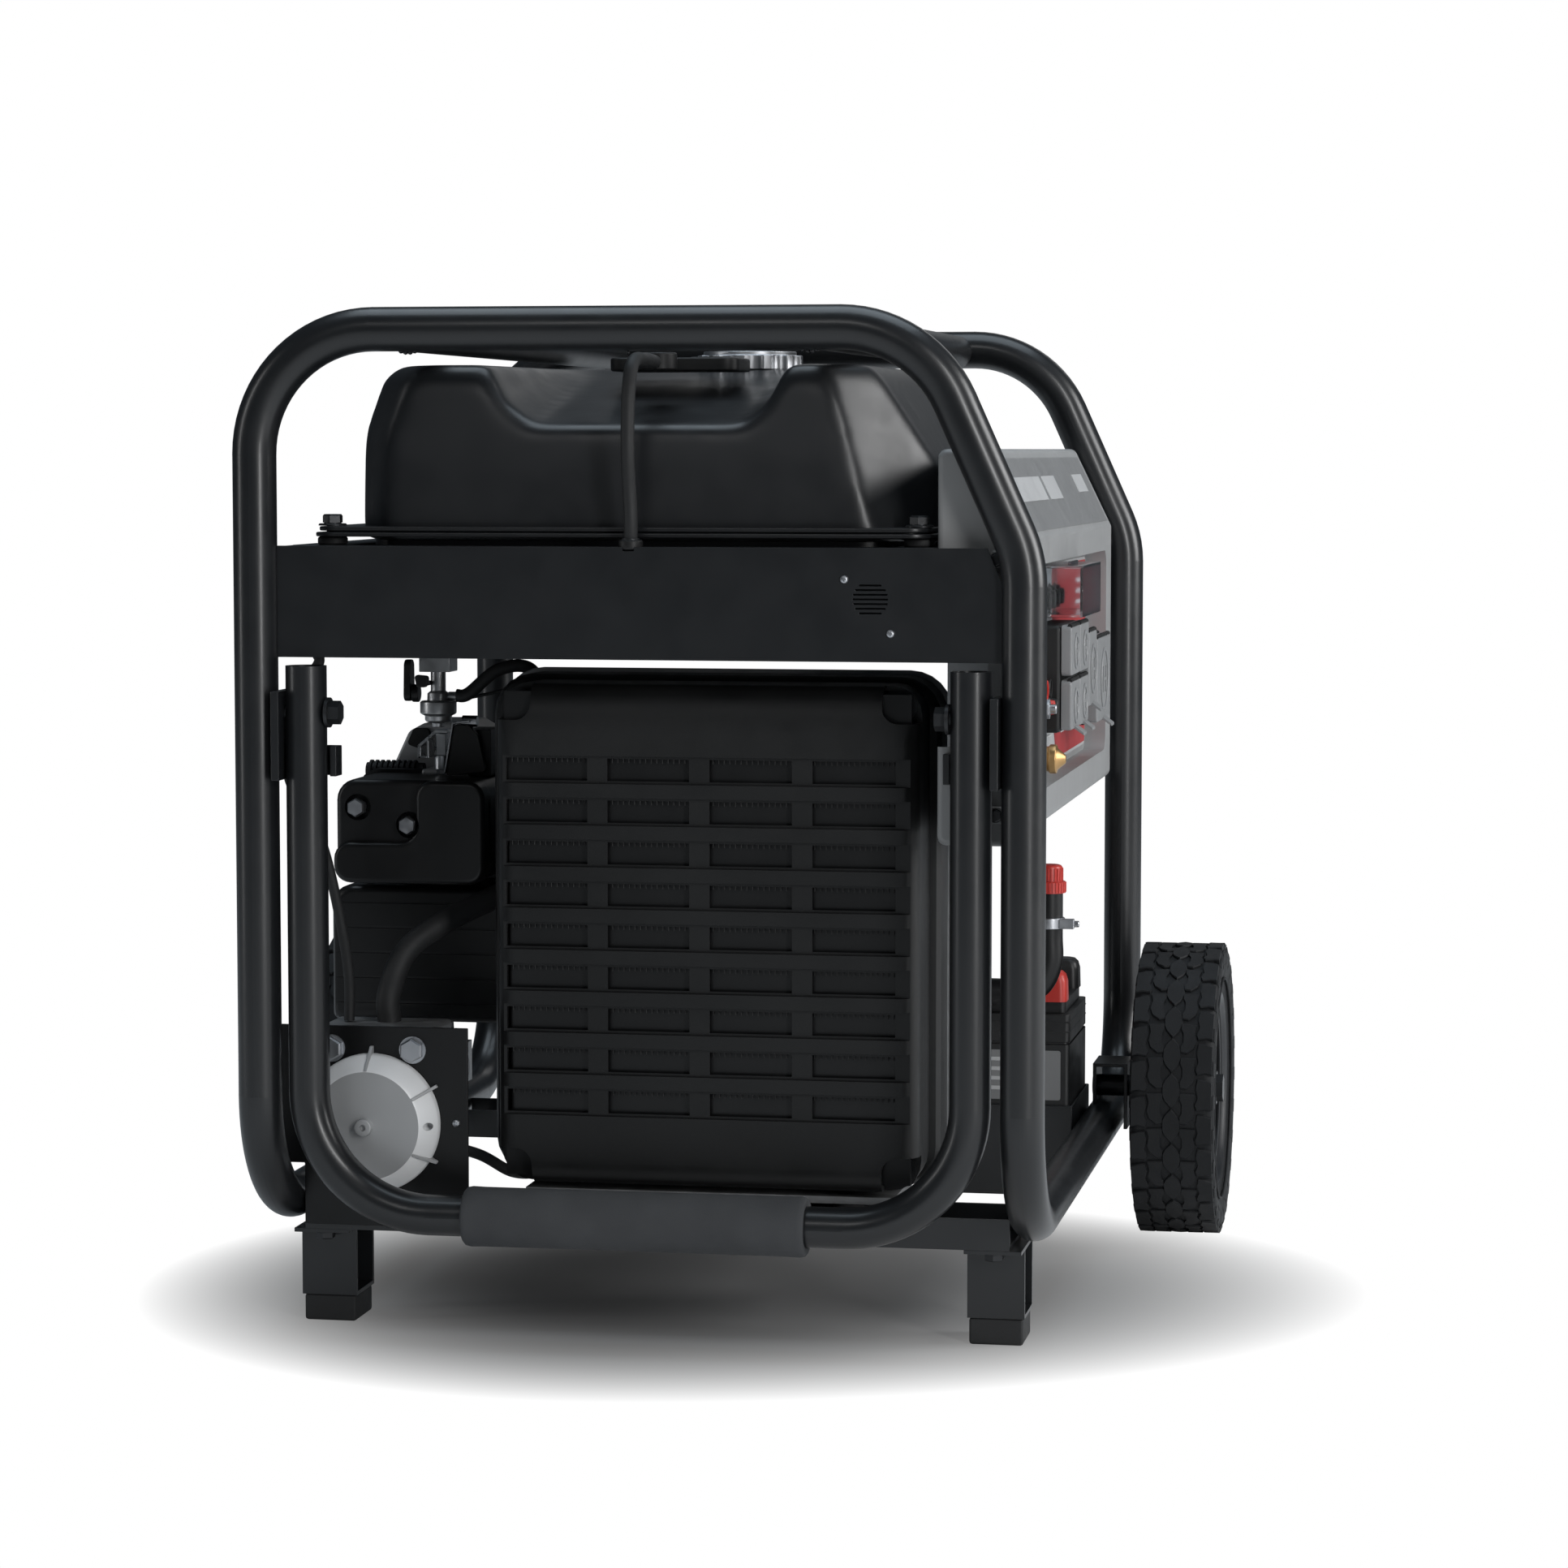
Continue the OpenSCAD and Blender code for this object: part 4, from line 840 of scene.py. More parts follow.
# %% Rims
for side, name in ((-1, "left"), (1, "right")):
    body, at = name + "_wheel", (side * TYRE_X, WHEEL_Y, WHEEL_Z)
    rib = bmesh.new()
    add_loft(rib, [[(24, -2.2, s), (24, 2.2, s), (72, 3.4, s + 7), (72, -3.4, s + 7)] for s in (-6, -2)])
    rib = sample(rib, 0.6)
    fit(ring_of(f"{name}_rim_ribs", rib, 10, at, "x" if side > 0 else "-x", "wheel_black"), body)
    flange = bmesh.new()
    for s in (-1, 1):
        add_turned(flange, [(70, s * 24), (76.5, s * 24), (79, s * 26.6), (81.5, s * 29.4), (80, s * 30.4),
                            (77, s * 28.6), (74.5, s * 25.6), (70, s * 25.2)], at, "x", 72)
    piece(solid(f"{name}_rim_flanges", flange), FINISHES["wheel_black"], body, (), 50)
clear_samples()
print("wheels done")

# %% [markdown]
# ## Handle grip
# Closed-cell foam squeezed over a tube keeps its own round ends. A turned profile gives the soft lips, and the
# finish carries the pores.

# %% Foam grip
grip = bmesh.new()
GRIP_HALF, GRIP_R, TUBE_R = 126.5, 22.0, 15.0
profile = [(TUBE_R, -GRIP_HALF + 1), (19.5, -GRIP_HALF), (21.3, -GRIP_HALF + 1.6), (GRIP_R, -GRIP_HALF + 5),
           (21.7, -GRIP_HALF + 14)]
add_turned(grip, profile + [(21.5, 0)] + [(r, -h) for r, h in profile[::-1]], (0, 0, 98), "x", 64)
grip = piece(solid("foam_grip", grip), FINISHES["foam_grey"], "handle", ["handle_grip"], 60)

# %% [markdown]
# ## Bolts and screws
# Every screw of one size is one shape copied at listed points. Heads have a chamfer and a washer face, which is
# what tells a bolt from a plain prism.

# %% Bolt heads
def hex_head(across, height, flange=0.0, shank=0.0):
    """A hexagon head with a chamfered top, its washer face and a length of shank below it."""
    bm = bmesh.new()
    add_rod(bm, (0, 0, 0.8), (0, 0, height * 0.82), across / math.sqrt(3), 6)
    add_rod(bm, (0, 0, height * 0.82), (0, 0, height), across / math.sqrt(3), 6, across / math.sqrt(3) * 0.86)
    add_rod(bm, (0, 0, 0), (0, 0, 1.0), flange or across * 0.5, 24)
    if shank:
        add_rod(bm, (0, 0, -shank), (0, 0, 0.2), across * 0.31, 16)
    return sample(bm)


def cross_screw(radius):
    """A domed screw head with a cross recess."""
    bm = bmesh.new()
    add_turned(bm, [(0, 0), (radius, 0), (radius, radius * 0.25), (radius * 0.8, radius * 0.55),
                    (radius * 0.4, radius * 0.7), (0, radius * 0.72)], (0, 0, 0), "z", 20)
    head = sample(bm)
    slots, a, b = bmesh.new(), radius * 0.5, radius * 0.14
    plus = [(-a, -b), (-b, -b), (-b, -a), (b, -a), (b, -b), (a, -b), (a, b), (b, b), (b, a), (-b, a), (-b, b),
            (-a, b)]
    add_prism(slots, plus, "z", radius * 0.45, radius * 2)
    return carve(head, sample(slots))


FOOT_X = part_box("rubber_feet")[1].x / MM - 20
FOOT_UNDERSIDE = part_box("foot_brackets")[1].z / MM - 3
CHANNEL_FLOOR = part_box("cross_members")[0].z / MM + 3
FASTENERS = [
    ("tank_bolts", hex_head(13, 7, 0, 14), [(x, y, 601.4) for x, y in TANK_BOLTS], "z", "black_steel",
     ["hex_bolts"]),
    ("foot_bolts", hex_head(13, 6, 8, 12), [(x, 68, FOOT_UNDERSIDE) for x in (-FOOT_X, FOOT_X)], "-z",
     "black_steel", []),
    ("foot_nuts", hex_head(13, 6, 8), [(x, 68, CHANNEL_FLOOR) for x in (-FOOT_X, FOOT_X)], "z", "zinc", []),
    ("regulator_bolts", hex_head(16, 7, 10.2), [(-243, 55.5, 211), (-181, 55.5, 211)], "-y", "zinc", []),
    ("valve_cover_bolts", hex_head(12.5, 9, 0, 26), [(-250.5, 157, 382.7), (-210, 157, 369.6)], "-y", "zinc",
     []),
    ("fan_cover_bolts", hex_head(12, 6, 10.5), [(x, 82, z) for x in (-105, 183) for z in (127, 469)], "-y",
     "black_steel", []),
    ("shelf_screws", cross_screw(3.1), [(152.7, 0, 563.7), (186, 0, 525.3)], "-y", "zinc", ["panel_screws"]),
    ("plate_screws", cross_screw(3.0), [(-148, 55.5, 157), (-196, 55.5, 92)], "-y", "zinc", []),
    ("panel_bolts", hex_head(8, 4, 5), [(260, 12, 396), (260, 12, 578)], "-y", "black_steel", []),
    ("panel_rear_bolts", hex_head(8, 4, 5), [(260, 700, 396), (260, 700, 578)], "y", "black_steel", []),
]
for name, shape, points, facing, finish_name, stands_for in FASTENERS:
    fit(copies_at(name, shape, points, facing, finish_name), "root", stands_for)
clear_samples()
smoothed_copy("pivot_bolts", 0.8, FINISHES["black_steel"], 40)
print("fasteners", len(FASTENERS))

# %% [markdown]
# ## Cylinder end of the engine
# The rocker cover is a deep casting: an L-shaped pad stands proud of it, and two round wells hold its studs. A
# helper rounds the corners of any outline, and booleans sink the wells.

# %% Rounding an outline's corners
def filleted(points, radius, steps=5):
    """The outline with every corner turned into an arc."""
    outline = []
    for i, corner in enumerate(points):
        here, before, after = Vector(corner), Vector(points[i - 1]), Vector(points[(i + 1) % len(points)])
        into, away = (before - here).normalized(), (after - here).normalized()
        half = into.angle(away) / 2
        cut = min(radius / math.tan(half), (before - here).length * 0.48, (after - here).length * 0.48)
        r = cut * math.tan(half)
        centre = here + (into + away).normalized() * (r / math.sin(half))
        first, last = here + into * cut - centre, here + away * cut - centre
        for k in range(steps + 1):
            t = k / steps
            outline.append(tuple(centre + first.slerp(last, t) * r))
    return outline


# %% Rocker cover
rocker = bmesh.new()
add_prism(rocker, rounded((-268, 325), (-149, 404), 16), "y", 156, 232)
rocker = soften_edges(solid("rocker_cover", rocker), 5, 4, 50)
pad = bmesh.new()
add_prism(pad, filleted([(-268, 325), (-149, 325), (-149, 404), (-203, 404), (-203, 356.5), (-268, 356.5)],
                        13, 6), "y", 147, 172)
pad = soften_edges(solid("rocker_cover_pad", pad), 4.2, 4, 50)
for shape in (rocker, pad):
    wells = bmesh.new()
    for x, z in ((-250.5, 382.7), (-210, 369.6)):
        add_rod(wells, (x, 130, z), (x, 168, z), 10.2, 36)
    carve(shape, solid("wells", wells))
piece(rocker, FINISHES["shroud_black"], "root", ["valve_cover"], 50)
trim(pad, "shroud_black", smooth=50)
gasket = bmesh.new()
add_prism(gasket, rounded((-271, 322), (-146, 407), 18), "y", 228, 231)
add_prism(gasket, rounded((-271, 322), (-146, 407), 18), "y", 233, 236)
add_prism(gasket, rounded((-267, 326), (-150, 403), 16), "y", 222, 236)
trim(soften_edges(solid("rocker_gasket", gasket), 0.7), "shroud_black")
smoothed_copy("cylinder_head", 3, FINISHES["cast_alloy"])

# %% Grooved cylinder shroud
shroud = bmesh.new()
add_loft(shroud, [[(x, y, z) for x, z in rounded((-285 + d, 212 + d), (-140, 318 - d), (6, 2, 2, 16), 6)]
                  for y, d in ((200, 5), (201.5, 2.2), (205, 0), (400, 0))])
shroud = solid("cylinder_shroud_shape", shroud)
hollow = bmesh.new()
add_block(hollow, (-281, 210, 216), (-130, 410, 313))
carve(shroud, solid("hollow", hollow))
carve(shroud, grid_of("grooves", block_sample((160, 2.2, 2.2)), 1, (1, 0, 0), 5, (0, 0, 19.5),
                      (-286, 199, 226), "shroud_black"))
clear_samples()
piece(shroud, FINISHES["shroud_black"], "root", ["cylinder_shroud"], 40)
boot = bmesh.new()
add_turned(boot, [(0, 0), (9, 0), (11, 2), (11, 14), (12.5, 15), (12.5, 18), (10, 20), (0, 20)],
           (-282, 268, 362), "x", 32)
add_rod(boot, (-273, 268, 362), (-273, 268, 338), 8, 24)
piece(solid("plug_boot", boot), FINISHES["rubber_black"], "root", ["spark_plug_boot"], 40)
fit(tube("plug_lead", [(-273, 268, 342), (-274, 276, 322), (-278, 330, 322), (-262, 398, 324),
                       (-210, 402, 330)], 3.6, "rubber_black"))

# %% [markdown]
# ## Carburettor and petcock
# Small bright castings against black parts draw the eye, so they get their true steps: block, stem, collar and
# bowl on the petcock, and the dome, throttle bracket and choke plate on the carburettor.

# %% Carburettor
casting = bmesh.new()
add_prism(casting, filleted([(-256, 398), (-239, 434), (-226, 441), (-196, 441), (-184, 434), (-176, 398)],
                            9), "y", 262, 340)
add_block(casting, (-206, 302, 330), (-150, 372, 403))
add_rod(casting, (-178, 338, 318), (-178, 338, 332), 24, 36)
add_block(casting, (-216, 214, 403), (-182, 258, 408))
piece(soften_edges(solid("carburettor_casting", casting), 3.2, 3, 40), FINISHES["satin_dome"], "root",
      ["carburettor"], 50)
notch = bmesh.new()
add_prism(notch, filleted([(-240, 424), (-224, 419), (-219, 426), (-222, 437), (-234, 437)], 3), "y", 259, 264)
trim(soften_edges(solid("dome_plug", notch), 0.8), "plastic_black")
linkage = bmesh.new()
add_prism(linkage, [(-217, 417), (-217, 427), (-203, 439), (-193, 439), (-193, 436.5), (-202, 436.5),
                    (-214.5, 426), (-214.5, 417)], "y", 208, 226)
add_prism(linkage, [(-216.5, 417), (-216.5, 419), (-209.5, 419), (-209.5, 417)], "y", 208, 226)
add_block(linkage, (-209.8, 208, 417), (-208.2, 226, 431))
add_block(linkage, (-204, 214, 404), (-196, 222, 436))
add_rod(linkage, (-200, 218, 408), (-200, 218, 419), 6.2, 20)
add_rod(linkage, (-206, 216, 424), (-190, 216, 424), 1.6, 10)
add_prism(linkage, [(-193.2, 406), (-186.6, 446), (-172, 448), (-172, 446), (-185, 444.4), (-191.8, 406)],
          "y", 196, 206)
add_rod(linkage, (-180, 204, 446.5), (-168, 204, 446.5), 4.6, 6)
trim(soften_edges(solid("throttle_linkage", linkage), 0.4, 1), "bright_steel")
plate = bmesh.new()
add_prism(plate, filleted([(-191.6, 404), (-185, 444.2), (-173, 443.6), (-166, 436), (-160, 408)], 2.5), "y",
          197, 203)
add_block(plate, (-176, 206, 404), (-158, 240, 440))
trim(soften_edges(solid("choke_plate", plate), 0.6), "plastic_black")
rib = bmesh.new()
add_turned(rib, [(5, 0), (8.6, 0.8), (8.6, 2.6), (5, 3.4)], (0, 0, 0), "x", 28)
fit(grid_of("intake_boot_ribs", sample(rib), 9, (4.4, 0, 0), 1, (0, 0, 1), (-266, 246, 404), "rubber_black"))
clear_samples()
sleeve = bmesh.new()
add_rod(sleeve, (-268, 246, 404), (-222, 246, 404), 6.6, 28)
trim(solid("intake_boot_sleeve", sleeve), "rubber_black")

# %% Petcock and its levers
tap = bmesh.new()
add_block(tap, (-210.2, 188, 485), (-185.6, 212, 508))
add_turned(tap, [(0, 0), (4.6, 0), (5, 3.6), (9.6, 4.4), (10.4, 6), (10.4, 9), (12.6, 10), (14.1, 11),
                 (14.1, 19.4), (13, 20.4),
                 (8.6, 20.6), (8.4, 26.2), (7, 27.4), (5.8, 28), (5.8, 44), (0, 44)], (-198, 200, 441.8), "z",
                 40)
add_rod(tap, (-190, 200, 466), (-181, 200, 466), 3.4, 20)
add_rod(tap, (-198, 200, 506), (-198, 200, 560), 8, 28)
piece(soften_edges(solid("petcock", tap), 0.7, 2, 50), FINISHES["gun_metal"], "root", ["fuel_valve"],
      50)
levers = bmesh.new()
add_prism(levers, filleted([(191.5, 462), (208.5, 462), (206.5, 494), (193.5, 494)], 5), "x", -223.8, -218.6)
add_turned(levers, [(0, 0), (6.9, 0), (6.9, 5.4), (0, 5.4)], (-218.4, 200, 468), "x", 32)
piece(soften_edges(solid("petcock_lever", levers), 0.9), FINISHES["plastic_black"], "valve_lever",
      ["fuel_valve_lever"])
fixed = bmesh.new()
add_prism(fixed, filleted([(-211.6, 483.4), (-200.6, 482.4), (-200.8, 476), (-203, 473.6), (-209.6, 473.6)],
                          2.2), "y", 178, 184)
add_block(fixed, (-207, 182, 474.6), (-202, 200, 478))
trim(soften_edges(solid("petcock_stop", fixed), 0.9), "plastic_black")

# %% Hoses along their routes
ROUTES = {
    "vent_hose": (5, [(-5, 96, 720), (-5, 60, 721), (-6, 27, 718), (-6, 11, 695), (-6, 8, 650), (-4, 8, 610),
                      (-4, 8, 587)]),
    "petrol_hose": (5, [(-183, 200, 466.5), (-174, 200, 468), (-152, 204, 486), (-130, 212, 488),
                        (-120, 226, 468), (-118, 260, 430),
                        (-118, 310, 396), (-130, 336, 384), (-150, 336, 384)]),
    "gas_hose": (9, [(-211, 100, 226), (-211, 100, 248), (-199, 112, 280), (-170, 148, 302), (-136, 186, 320),
                     (-124, 240, 340),
                     (-124, 300, 348), (-132, 344, 350), (-150, 344, 350)]),
    "wiring_sleeve": (4, [(-252, 56, 504.5), (-252, 56, 496), (-275, 60, 470), (-277, 60, 440),
                          (-275, 60, 410), (-262, 68, 385),
                          (-252, 76, 350), (-244, 86, 300), (-240, 92, 260), (-240, 92, 227)]),
    "ignition_wire": (1.3, [(-186, 206, 462), (-150, 214, 470), (-132, 214, 476), (-124, 214, 440),
                            (-120, 222, 400)]),
}
for number, (name, (radius, route)) in enumerate(ROUTES.items()):
    fit(tube(name, route, radius, "rubber_black"), "root", ["rubber_hoses"] if number == 0 else (),
        60)
fit(tube("ground_cable", [(-190, 124, 132), (-150, 128, 122), (-124, 134, 108), (-104, 150, 108),
                          (-90, 180, 122)], 4.2, "cover_grey"))
ferrule = bmesh.new()
add_turned(ferrule, [(5.05, 0), (8.6, 0), (8.6, 1.4), (6.8, 2.2), (6.4, 6), (5.05, 6.4)], (-4, 8, 586), "z", 32)
trim(solid("vent_ferrule", ferrule), "black_steel")
smoothed_copy("air_cleaner", 4, FINISHES["plastic_black"], 40, 3)

# %% [markdown]
# ## Gas regulator
# A pressed diaphragm housing: flat flange, a rolled shoulder, a slightly conical disc and a small hollow
# boss. The shoulder is the same pressed metal as the disc, painted much lighter as a painted highlight for the light it
# catches. Its stiffening fins stand on the shoulder and reach past the rim.

# %% Regulator dome
DOME = (-212, 55.5, 156)
dome = bmesh.new()
add_turned(dome, [(0, 0), (40, 0), (40.3, -19.6), (39, -19.9), (12, -22.6), (7, -23.2), (6.4, -24.4),
                  (6.2, -28.4), (5.4, -29), (2.4, -29), (2.2, -26), (0, -26)], DOME, "y", 96)
piece(solid("regulator_disc", dome), FINISHES["satin_dome"], "root", ["regulator_body"], 40)
shoulder, vent_hole = bmesh.new(), bmesh.new()
add_turned(shoulder, [(39.4, 0), (52, 0), (52, -4.5), (51, -7), (46.6, -13.4), (42, -18.6), (40.4, -19.6),
                      (39.4, -19.2)], DOME, "y", 96)
add_rod(vent_hole, (-166, 30, 156), (-166, 54, 156), 3, 24)
shoulder = carve(solid("regulator_shoulder", shoulder), solid("vent_hole", vent_hole))
# The shoulder gets the lighter copy of the dome finish, a painted highlight.
trim(shoulder, "bright_dome", smooth=40)
fin = bmesh.new()
add_prism(fin, [(41, 0), (57.5, 0), (57.5, 3.2), (52.6, 8), (46, 16), (41, 20.6)], "y", -1.2, 1.2)
fit(ring_of("regulator_fins", sample(fin, 0.3), 6, DOME, "-y", "satin_dome", start=math.pi / 6))
clear_samples()
back = bmesh.new()
add_block(back, (-256, 58, 108), (-168, 122, 226))
add_rod(back, (-212, 57, 156), (-212, 62, 156), 29.5, 40)
add_rod(back, (-211, 100, 224), (-211, 100, 238), 7.6, 24)
trim(soften_edges(solid("regulator_back", back), 3, 3, 40), "cast_alloy")

# %% [markdown]
# ## Engine, silencer and air box
# Most of the engine hides behind its shrouds, but its edges show between the tubes and from behind. Cast parts
# get wide soft edges and cooling fins; the sheet-metal silencer is turned, with rolled seams and a slotted shield.

# %% Engine castings
for node, width in {"engine_block": 2.4, "fan_housing": 1.2, "engine_mounts": 1.5}.items():
    smoothed_copy(node, width, FINISHES[slot_of[node]], 40)
flange = bmesh.new()
add_prism(flange, rounded((-137.5, 105), (208, 491), 32), "y", 161, 167)
for x in (-128, 199):
    for z in range(140, 460, 40):
        add_block(flange, (min(x, x + 8), 166, z), (max(x, x + 8), 186, z + 4))
flange = solid("housing_flange", flange)
opening = bmesh.new()
add_rod(opening, (39, 150, 298), (39, 200, 298), 141, 72)
trim(soften_edges(carve(flange, solid("opening", opening)), 1.2), "cast_alloy")
fit(grid_of("case_fins", block_sample((3, 60, 210), 0.8), 2, (275, 0, 0), 1, (0, 0, 1), (-103, 300, 150),
            "cast_alloy"))
fit(grid_of("rear_case_ribs", block_sample((236, 5, 3.4), 0.8), 1, (1, 0, 0), 9, (0, 0, 24), (-82, 458, 160),
            "cast_alloy"))
clear_samples()

# %% Silencer
CAN = (-120, 562, 305)
can = bmesh.new()
add_turned(can, [(0, 3), (58, 3), (66, 0), (73, 0), (74, 1.6), (74, 5), (72, 7), (72, 90), (73.2, 92),
                 (73.2, 96), (72, 98), (72, 184),
                 (73.2, 186), (73.2, 190), (72, 192), (72, 275), (74, 277), (74, 280.4), (73, 282), (66, 282),
                 (58, 279), (0, 279)], CAN, "x", 80)
add_rod(can, (-60, 460, 305), (-60, 500, 305), 15, 32)
can = solid("silencer", can)
outlet = bmesh.new()
add_turned(outlet, [(14, 0), (16, 0), (16, 86), (18, 86.6), (18, 105.4), (17.4, 106), (14, 106)],
           (118, 560, 305), "y", 40)
add_rod(outlet, (118, 644, 305), (118, 645, 305), 14.2, 32)
piece(can, FINISHES["muffler_steel"], "root", ["muffler"], 40)
trim(solid("silencer_outlet", outlet), "muffler_steel", smooth=40)
shield = bmesh.new()
outer, inner = [], []
for step in range(25):
    angle = math.radians(-62 + 124 * step / 24)
    outer.append((562 + 82 * math.cos(angle), 305 + 82 * math.sin(angle)))
    inner.append((562 + 80.6 * math.cos(angle), 305 + 80.6 * math.sin(angle)))
add_prism(shield, outer + inner[::-1], "x", -104, 92)
shield = solid("silencer_shield", shield)
carve(shield, grid_of("shield_slits", block_sample((8, 30, 34)), 9, (19, 0, 0), 2, (0, 0, 44),
                      (-90, 622, 266), "muffler_steel"))
clear_samples()
trim(shield, "muffler_steel", smooth=40)

# %% Air box trim
fit(grid_of("air_box_ribs", block_sample((2.4, 150, 3), 0.6), 1, (1, 0, 0), 6, (0, 0, 18), (-273.6, 427, 252),
            "plastic_black"))
clip = bmesh.new()
for y in (440, 564):
    add_block(clip, (-246, y - 8, 366), (-226, y + 8, 371))
    add_block(clip, (-249, y - 6, 352), (-243, y + 6, 372))
add_prism(clip, rounded((-270, 232), (-130, 366), 18), "y", 498, 501)
trim(soften_edges(solid("air_box_clips", clip), 0.8), "plastic_black")
print("engine dressed")

# %% [markdown]
# ## Battery and oil filler
# The battery case is a moulded block with a lid line and a stepped top; its terminals wear soft covers, one red
# and one black. The filler is a bent pipe with a worm clamp, closed by a knurled red cap.

# %% Battery
case = bmesh.new()
add_prism(case, rounded((176, 472), (262.5, 595), 4), "z", 45.5, 168)
add_prism(case, rounded((177.2, 473.2), (261.3, 593.8), 4), "z", 168, 170)
add_prism(case, rounded((176, 472), (262.5, 595), 4), "z", 170, 193)
add_prism(case, rounded((180, 480), (258, 587), 4), "z", 193, 203)
for z in (178, 186):
    add_block(case, (175.9, 471.7, z), (262.6, 595.2, z + 1.2))
piece(soften_edges(solid("battery_case", case), 1.3), FINISHES["battery_black"], "root", ["battery"])
for name, y, slot in (("front", 474, "red_plastic"), ("rear", 565, "battery_black")):
    terminal = bmesh.new()
    add_loft(terminal, [[(x, py, z) for x, py in rounded((232 + d, y + d), (259 - d, y + 26 - d), 6)]
                        for z, d in ((203, 0), (219, 0.4), (224.5, 1.8), (227.4, 4.4), (228, 6.5))])
    add_rod(terminal, (245, y + 13, 212), (245, y + (-14 if y > 500 else 40), 206), 4.2, 20)
    trim(solid(f"terminal_cover_{name}", terminal), slot, smooth=40)
label = bmesh.new()
add_prism(label, rounded((184, 122), (255, 163), 2), "y", 471.6, 472.2)
trim(solid("battery_label", label), "header_film")
bars = bmesh.new()
for i, width in enumerate((52, 40, 46, 30)):
    add_block(bars, (190, 471.3, 154 - i * 8), (190 + width, 471.8, 157 - i * 8))
trim(solid("battery_label_bars", bars), "decal_grey")

# %% Oil filler
FILLER_TOP = (249, 440, 297)
fit(tube("oil_filler_pipe", [(172, 440, 215), (205, 440, 215), (223, 440, 215), (241, 440, 222.6),
                             (249, 440, 241), (249, 440, 262), (249, 440, 297)],
         11, "shroud_black", 32), "root", ["oil_pipe"], 60)
clamp = bmesh.new()
add_turned(clamp, [(11.1, 0), (12.3, 0), (12.6, 0.8), (12.6, 8.2), (12.3, 9), (11.1, 9)], (249, 440, 268),
           "z", 40)
add_block(clamp, (258, 430, 268.5), (270, 436, 276.5))
add_rod(clamp, (257, 433, 272.5), (274, 433, 272.5), 2.6, 12)
trim(soften_edges(solid("worm_clamp", clamp), 0.5, 1), "zinc")
stopper = bmesh.new()
add_turned(stopper, [(0, -15), (8.7, -15), (8.7, 0.2), (13.2, 0.2), (13.2, 9), (12.4, 9.6), (10.6, 9.6),
                     (10.6, 20.6), (9.4, 22.4), (7.6, 23), (0, 23)], FILLER_TOP, "z", 48)
piece(solid("oil_stopper", stopper), FINISHES["red_plastic"], "oil_cap", ["oil_cap"], 40)
tooth = bmesh.new()
add_block(tooth, (12.6, -0.6, 0.8), (13.7, 0.6, 9))
fit(ring_of("oil_stopper_grip", sample(tooth, 0.25), 30, FILLER_TOP, "z", "red_plastic"), "oil_cap")
tooth = bmesh.new()
add_block(tooth, (10, -0.6, 10), (11.2, 0.6, 20.2))
fit(ring_of("oil_stopper_upper_grip", sample(tooth, 0.25), 24, FILLER_TOP, "z", "red_plastic"), "oil_cap")
clear_samples()

# %% [markdown]
# ## Control panel
# The housing is one long moulded section with a slanted header and a sunk face. Its outline is rounded, lofted
# along the machine with drawn-in ends, and cut for the sunk face and its hollow back.

# %% Drawing an outline in
def drawn_in(outline, depth):
    """The outline with every side moved inwards by the same depth."""
    turning = sum(a[0] * b[1] - b[0] * a[1] for a, b in zip(outline, outline[1:] + outline[:1]))
    inwards = 1 if turning > 0 else -1
    moved = []
    for i, here in enumerate(outline):
        before, after = Vector(outline[i - 1]), Vector(outline[(i + 1) % len(outline)])
        into, away = (Vector(here) - before).normalized(), (after - Vector(here)).normalized()
        normal = Vector((-(into.y + away.y), into.x + away.x)).normalized() * inwards
        moved.append(tuple(Vector(here) + normal * depth))
    return moved


# %% Housing
SUNK_FACE = 254
HOUSING = filleted([(216, 373), (272, 373), (272, 590), (240, 656), (216, 656)], 7, 5)
housing = bmesh.new()
add_loft(housing, [[(x, y, z) for x, z in drawn_in(HOUSING, d)]
                   for y, d in ((20, 5), (21.4, 2), (24.5, 0), (687.5, 0), (690.6, 2), (692, 5))])
housing = solid("panel_shell", housing)
lugs = bmesh.new()
for y in ((12, 20.5), (691.5, 700)):
    for z in (390, 572):
        add_block(lugs, (256, y[0], z), (264, y[1], z + 12))
trim(soften_edges(solid("panel_lugs", lugs), 1), "panel_grey")
sunk, hollow = bmesh.new(), bmesh.new()
add_prism(sunk, rounded((60, 400), (650, 570), 14, 7), "x", SUNK_FACE, 280)
add_block(hollow, (210, 24, 377), (250, 688, 586))
for cutter in (sunk, hollow):
    carve(housing, solid("panel_cut", cutter))
upper_hollow, hand_room = bmesh.new(), bmesh.new()
add_block(upper_hollow, (210, 24, 585), (236, 688, 650))
add_block(hand_room, (210, 10, 444), (262, 41, 506))
add_rod(hand_room, (248, 200, 500), (256, 200, 500), 9.3, 32)
for cutter in (upper_hollow, hand_room):
    carve(housing, solid("panel_cut", cutter))
soften_edges(housing, 1.1, 2, 40)
piece(housing, FINISHES["panel_grey"], "root", ["panel_housing"], 34)
print("panel faces", len(housing.data.polygons))

# %% Printed zones
def decal(name, outline, finish_name, lift, deep=0.5):
    """A thin printed film on the sunk face."""
    bm = bmesh.new()
    add_prism(bm, outline, "x", SUNK_FACE + 0.05 + lift, SUNK_FACE + 0.05 + lift + deep)
    return piece(solid(name, bm), FINISHES[finish_name], "root", ())


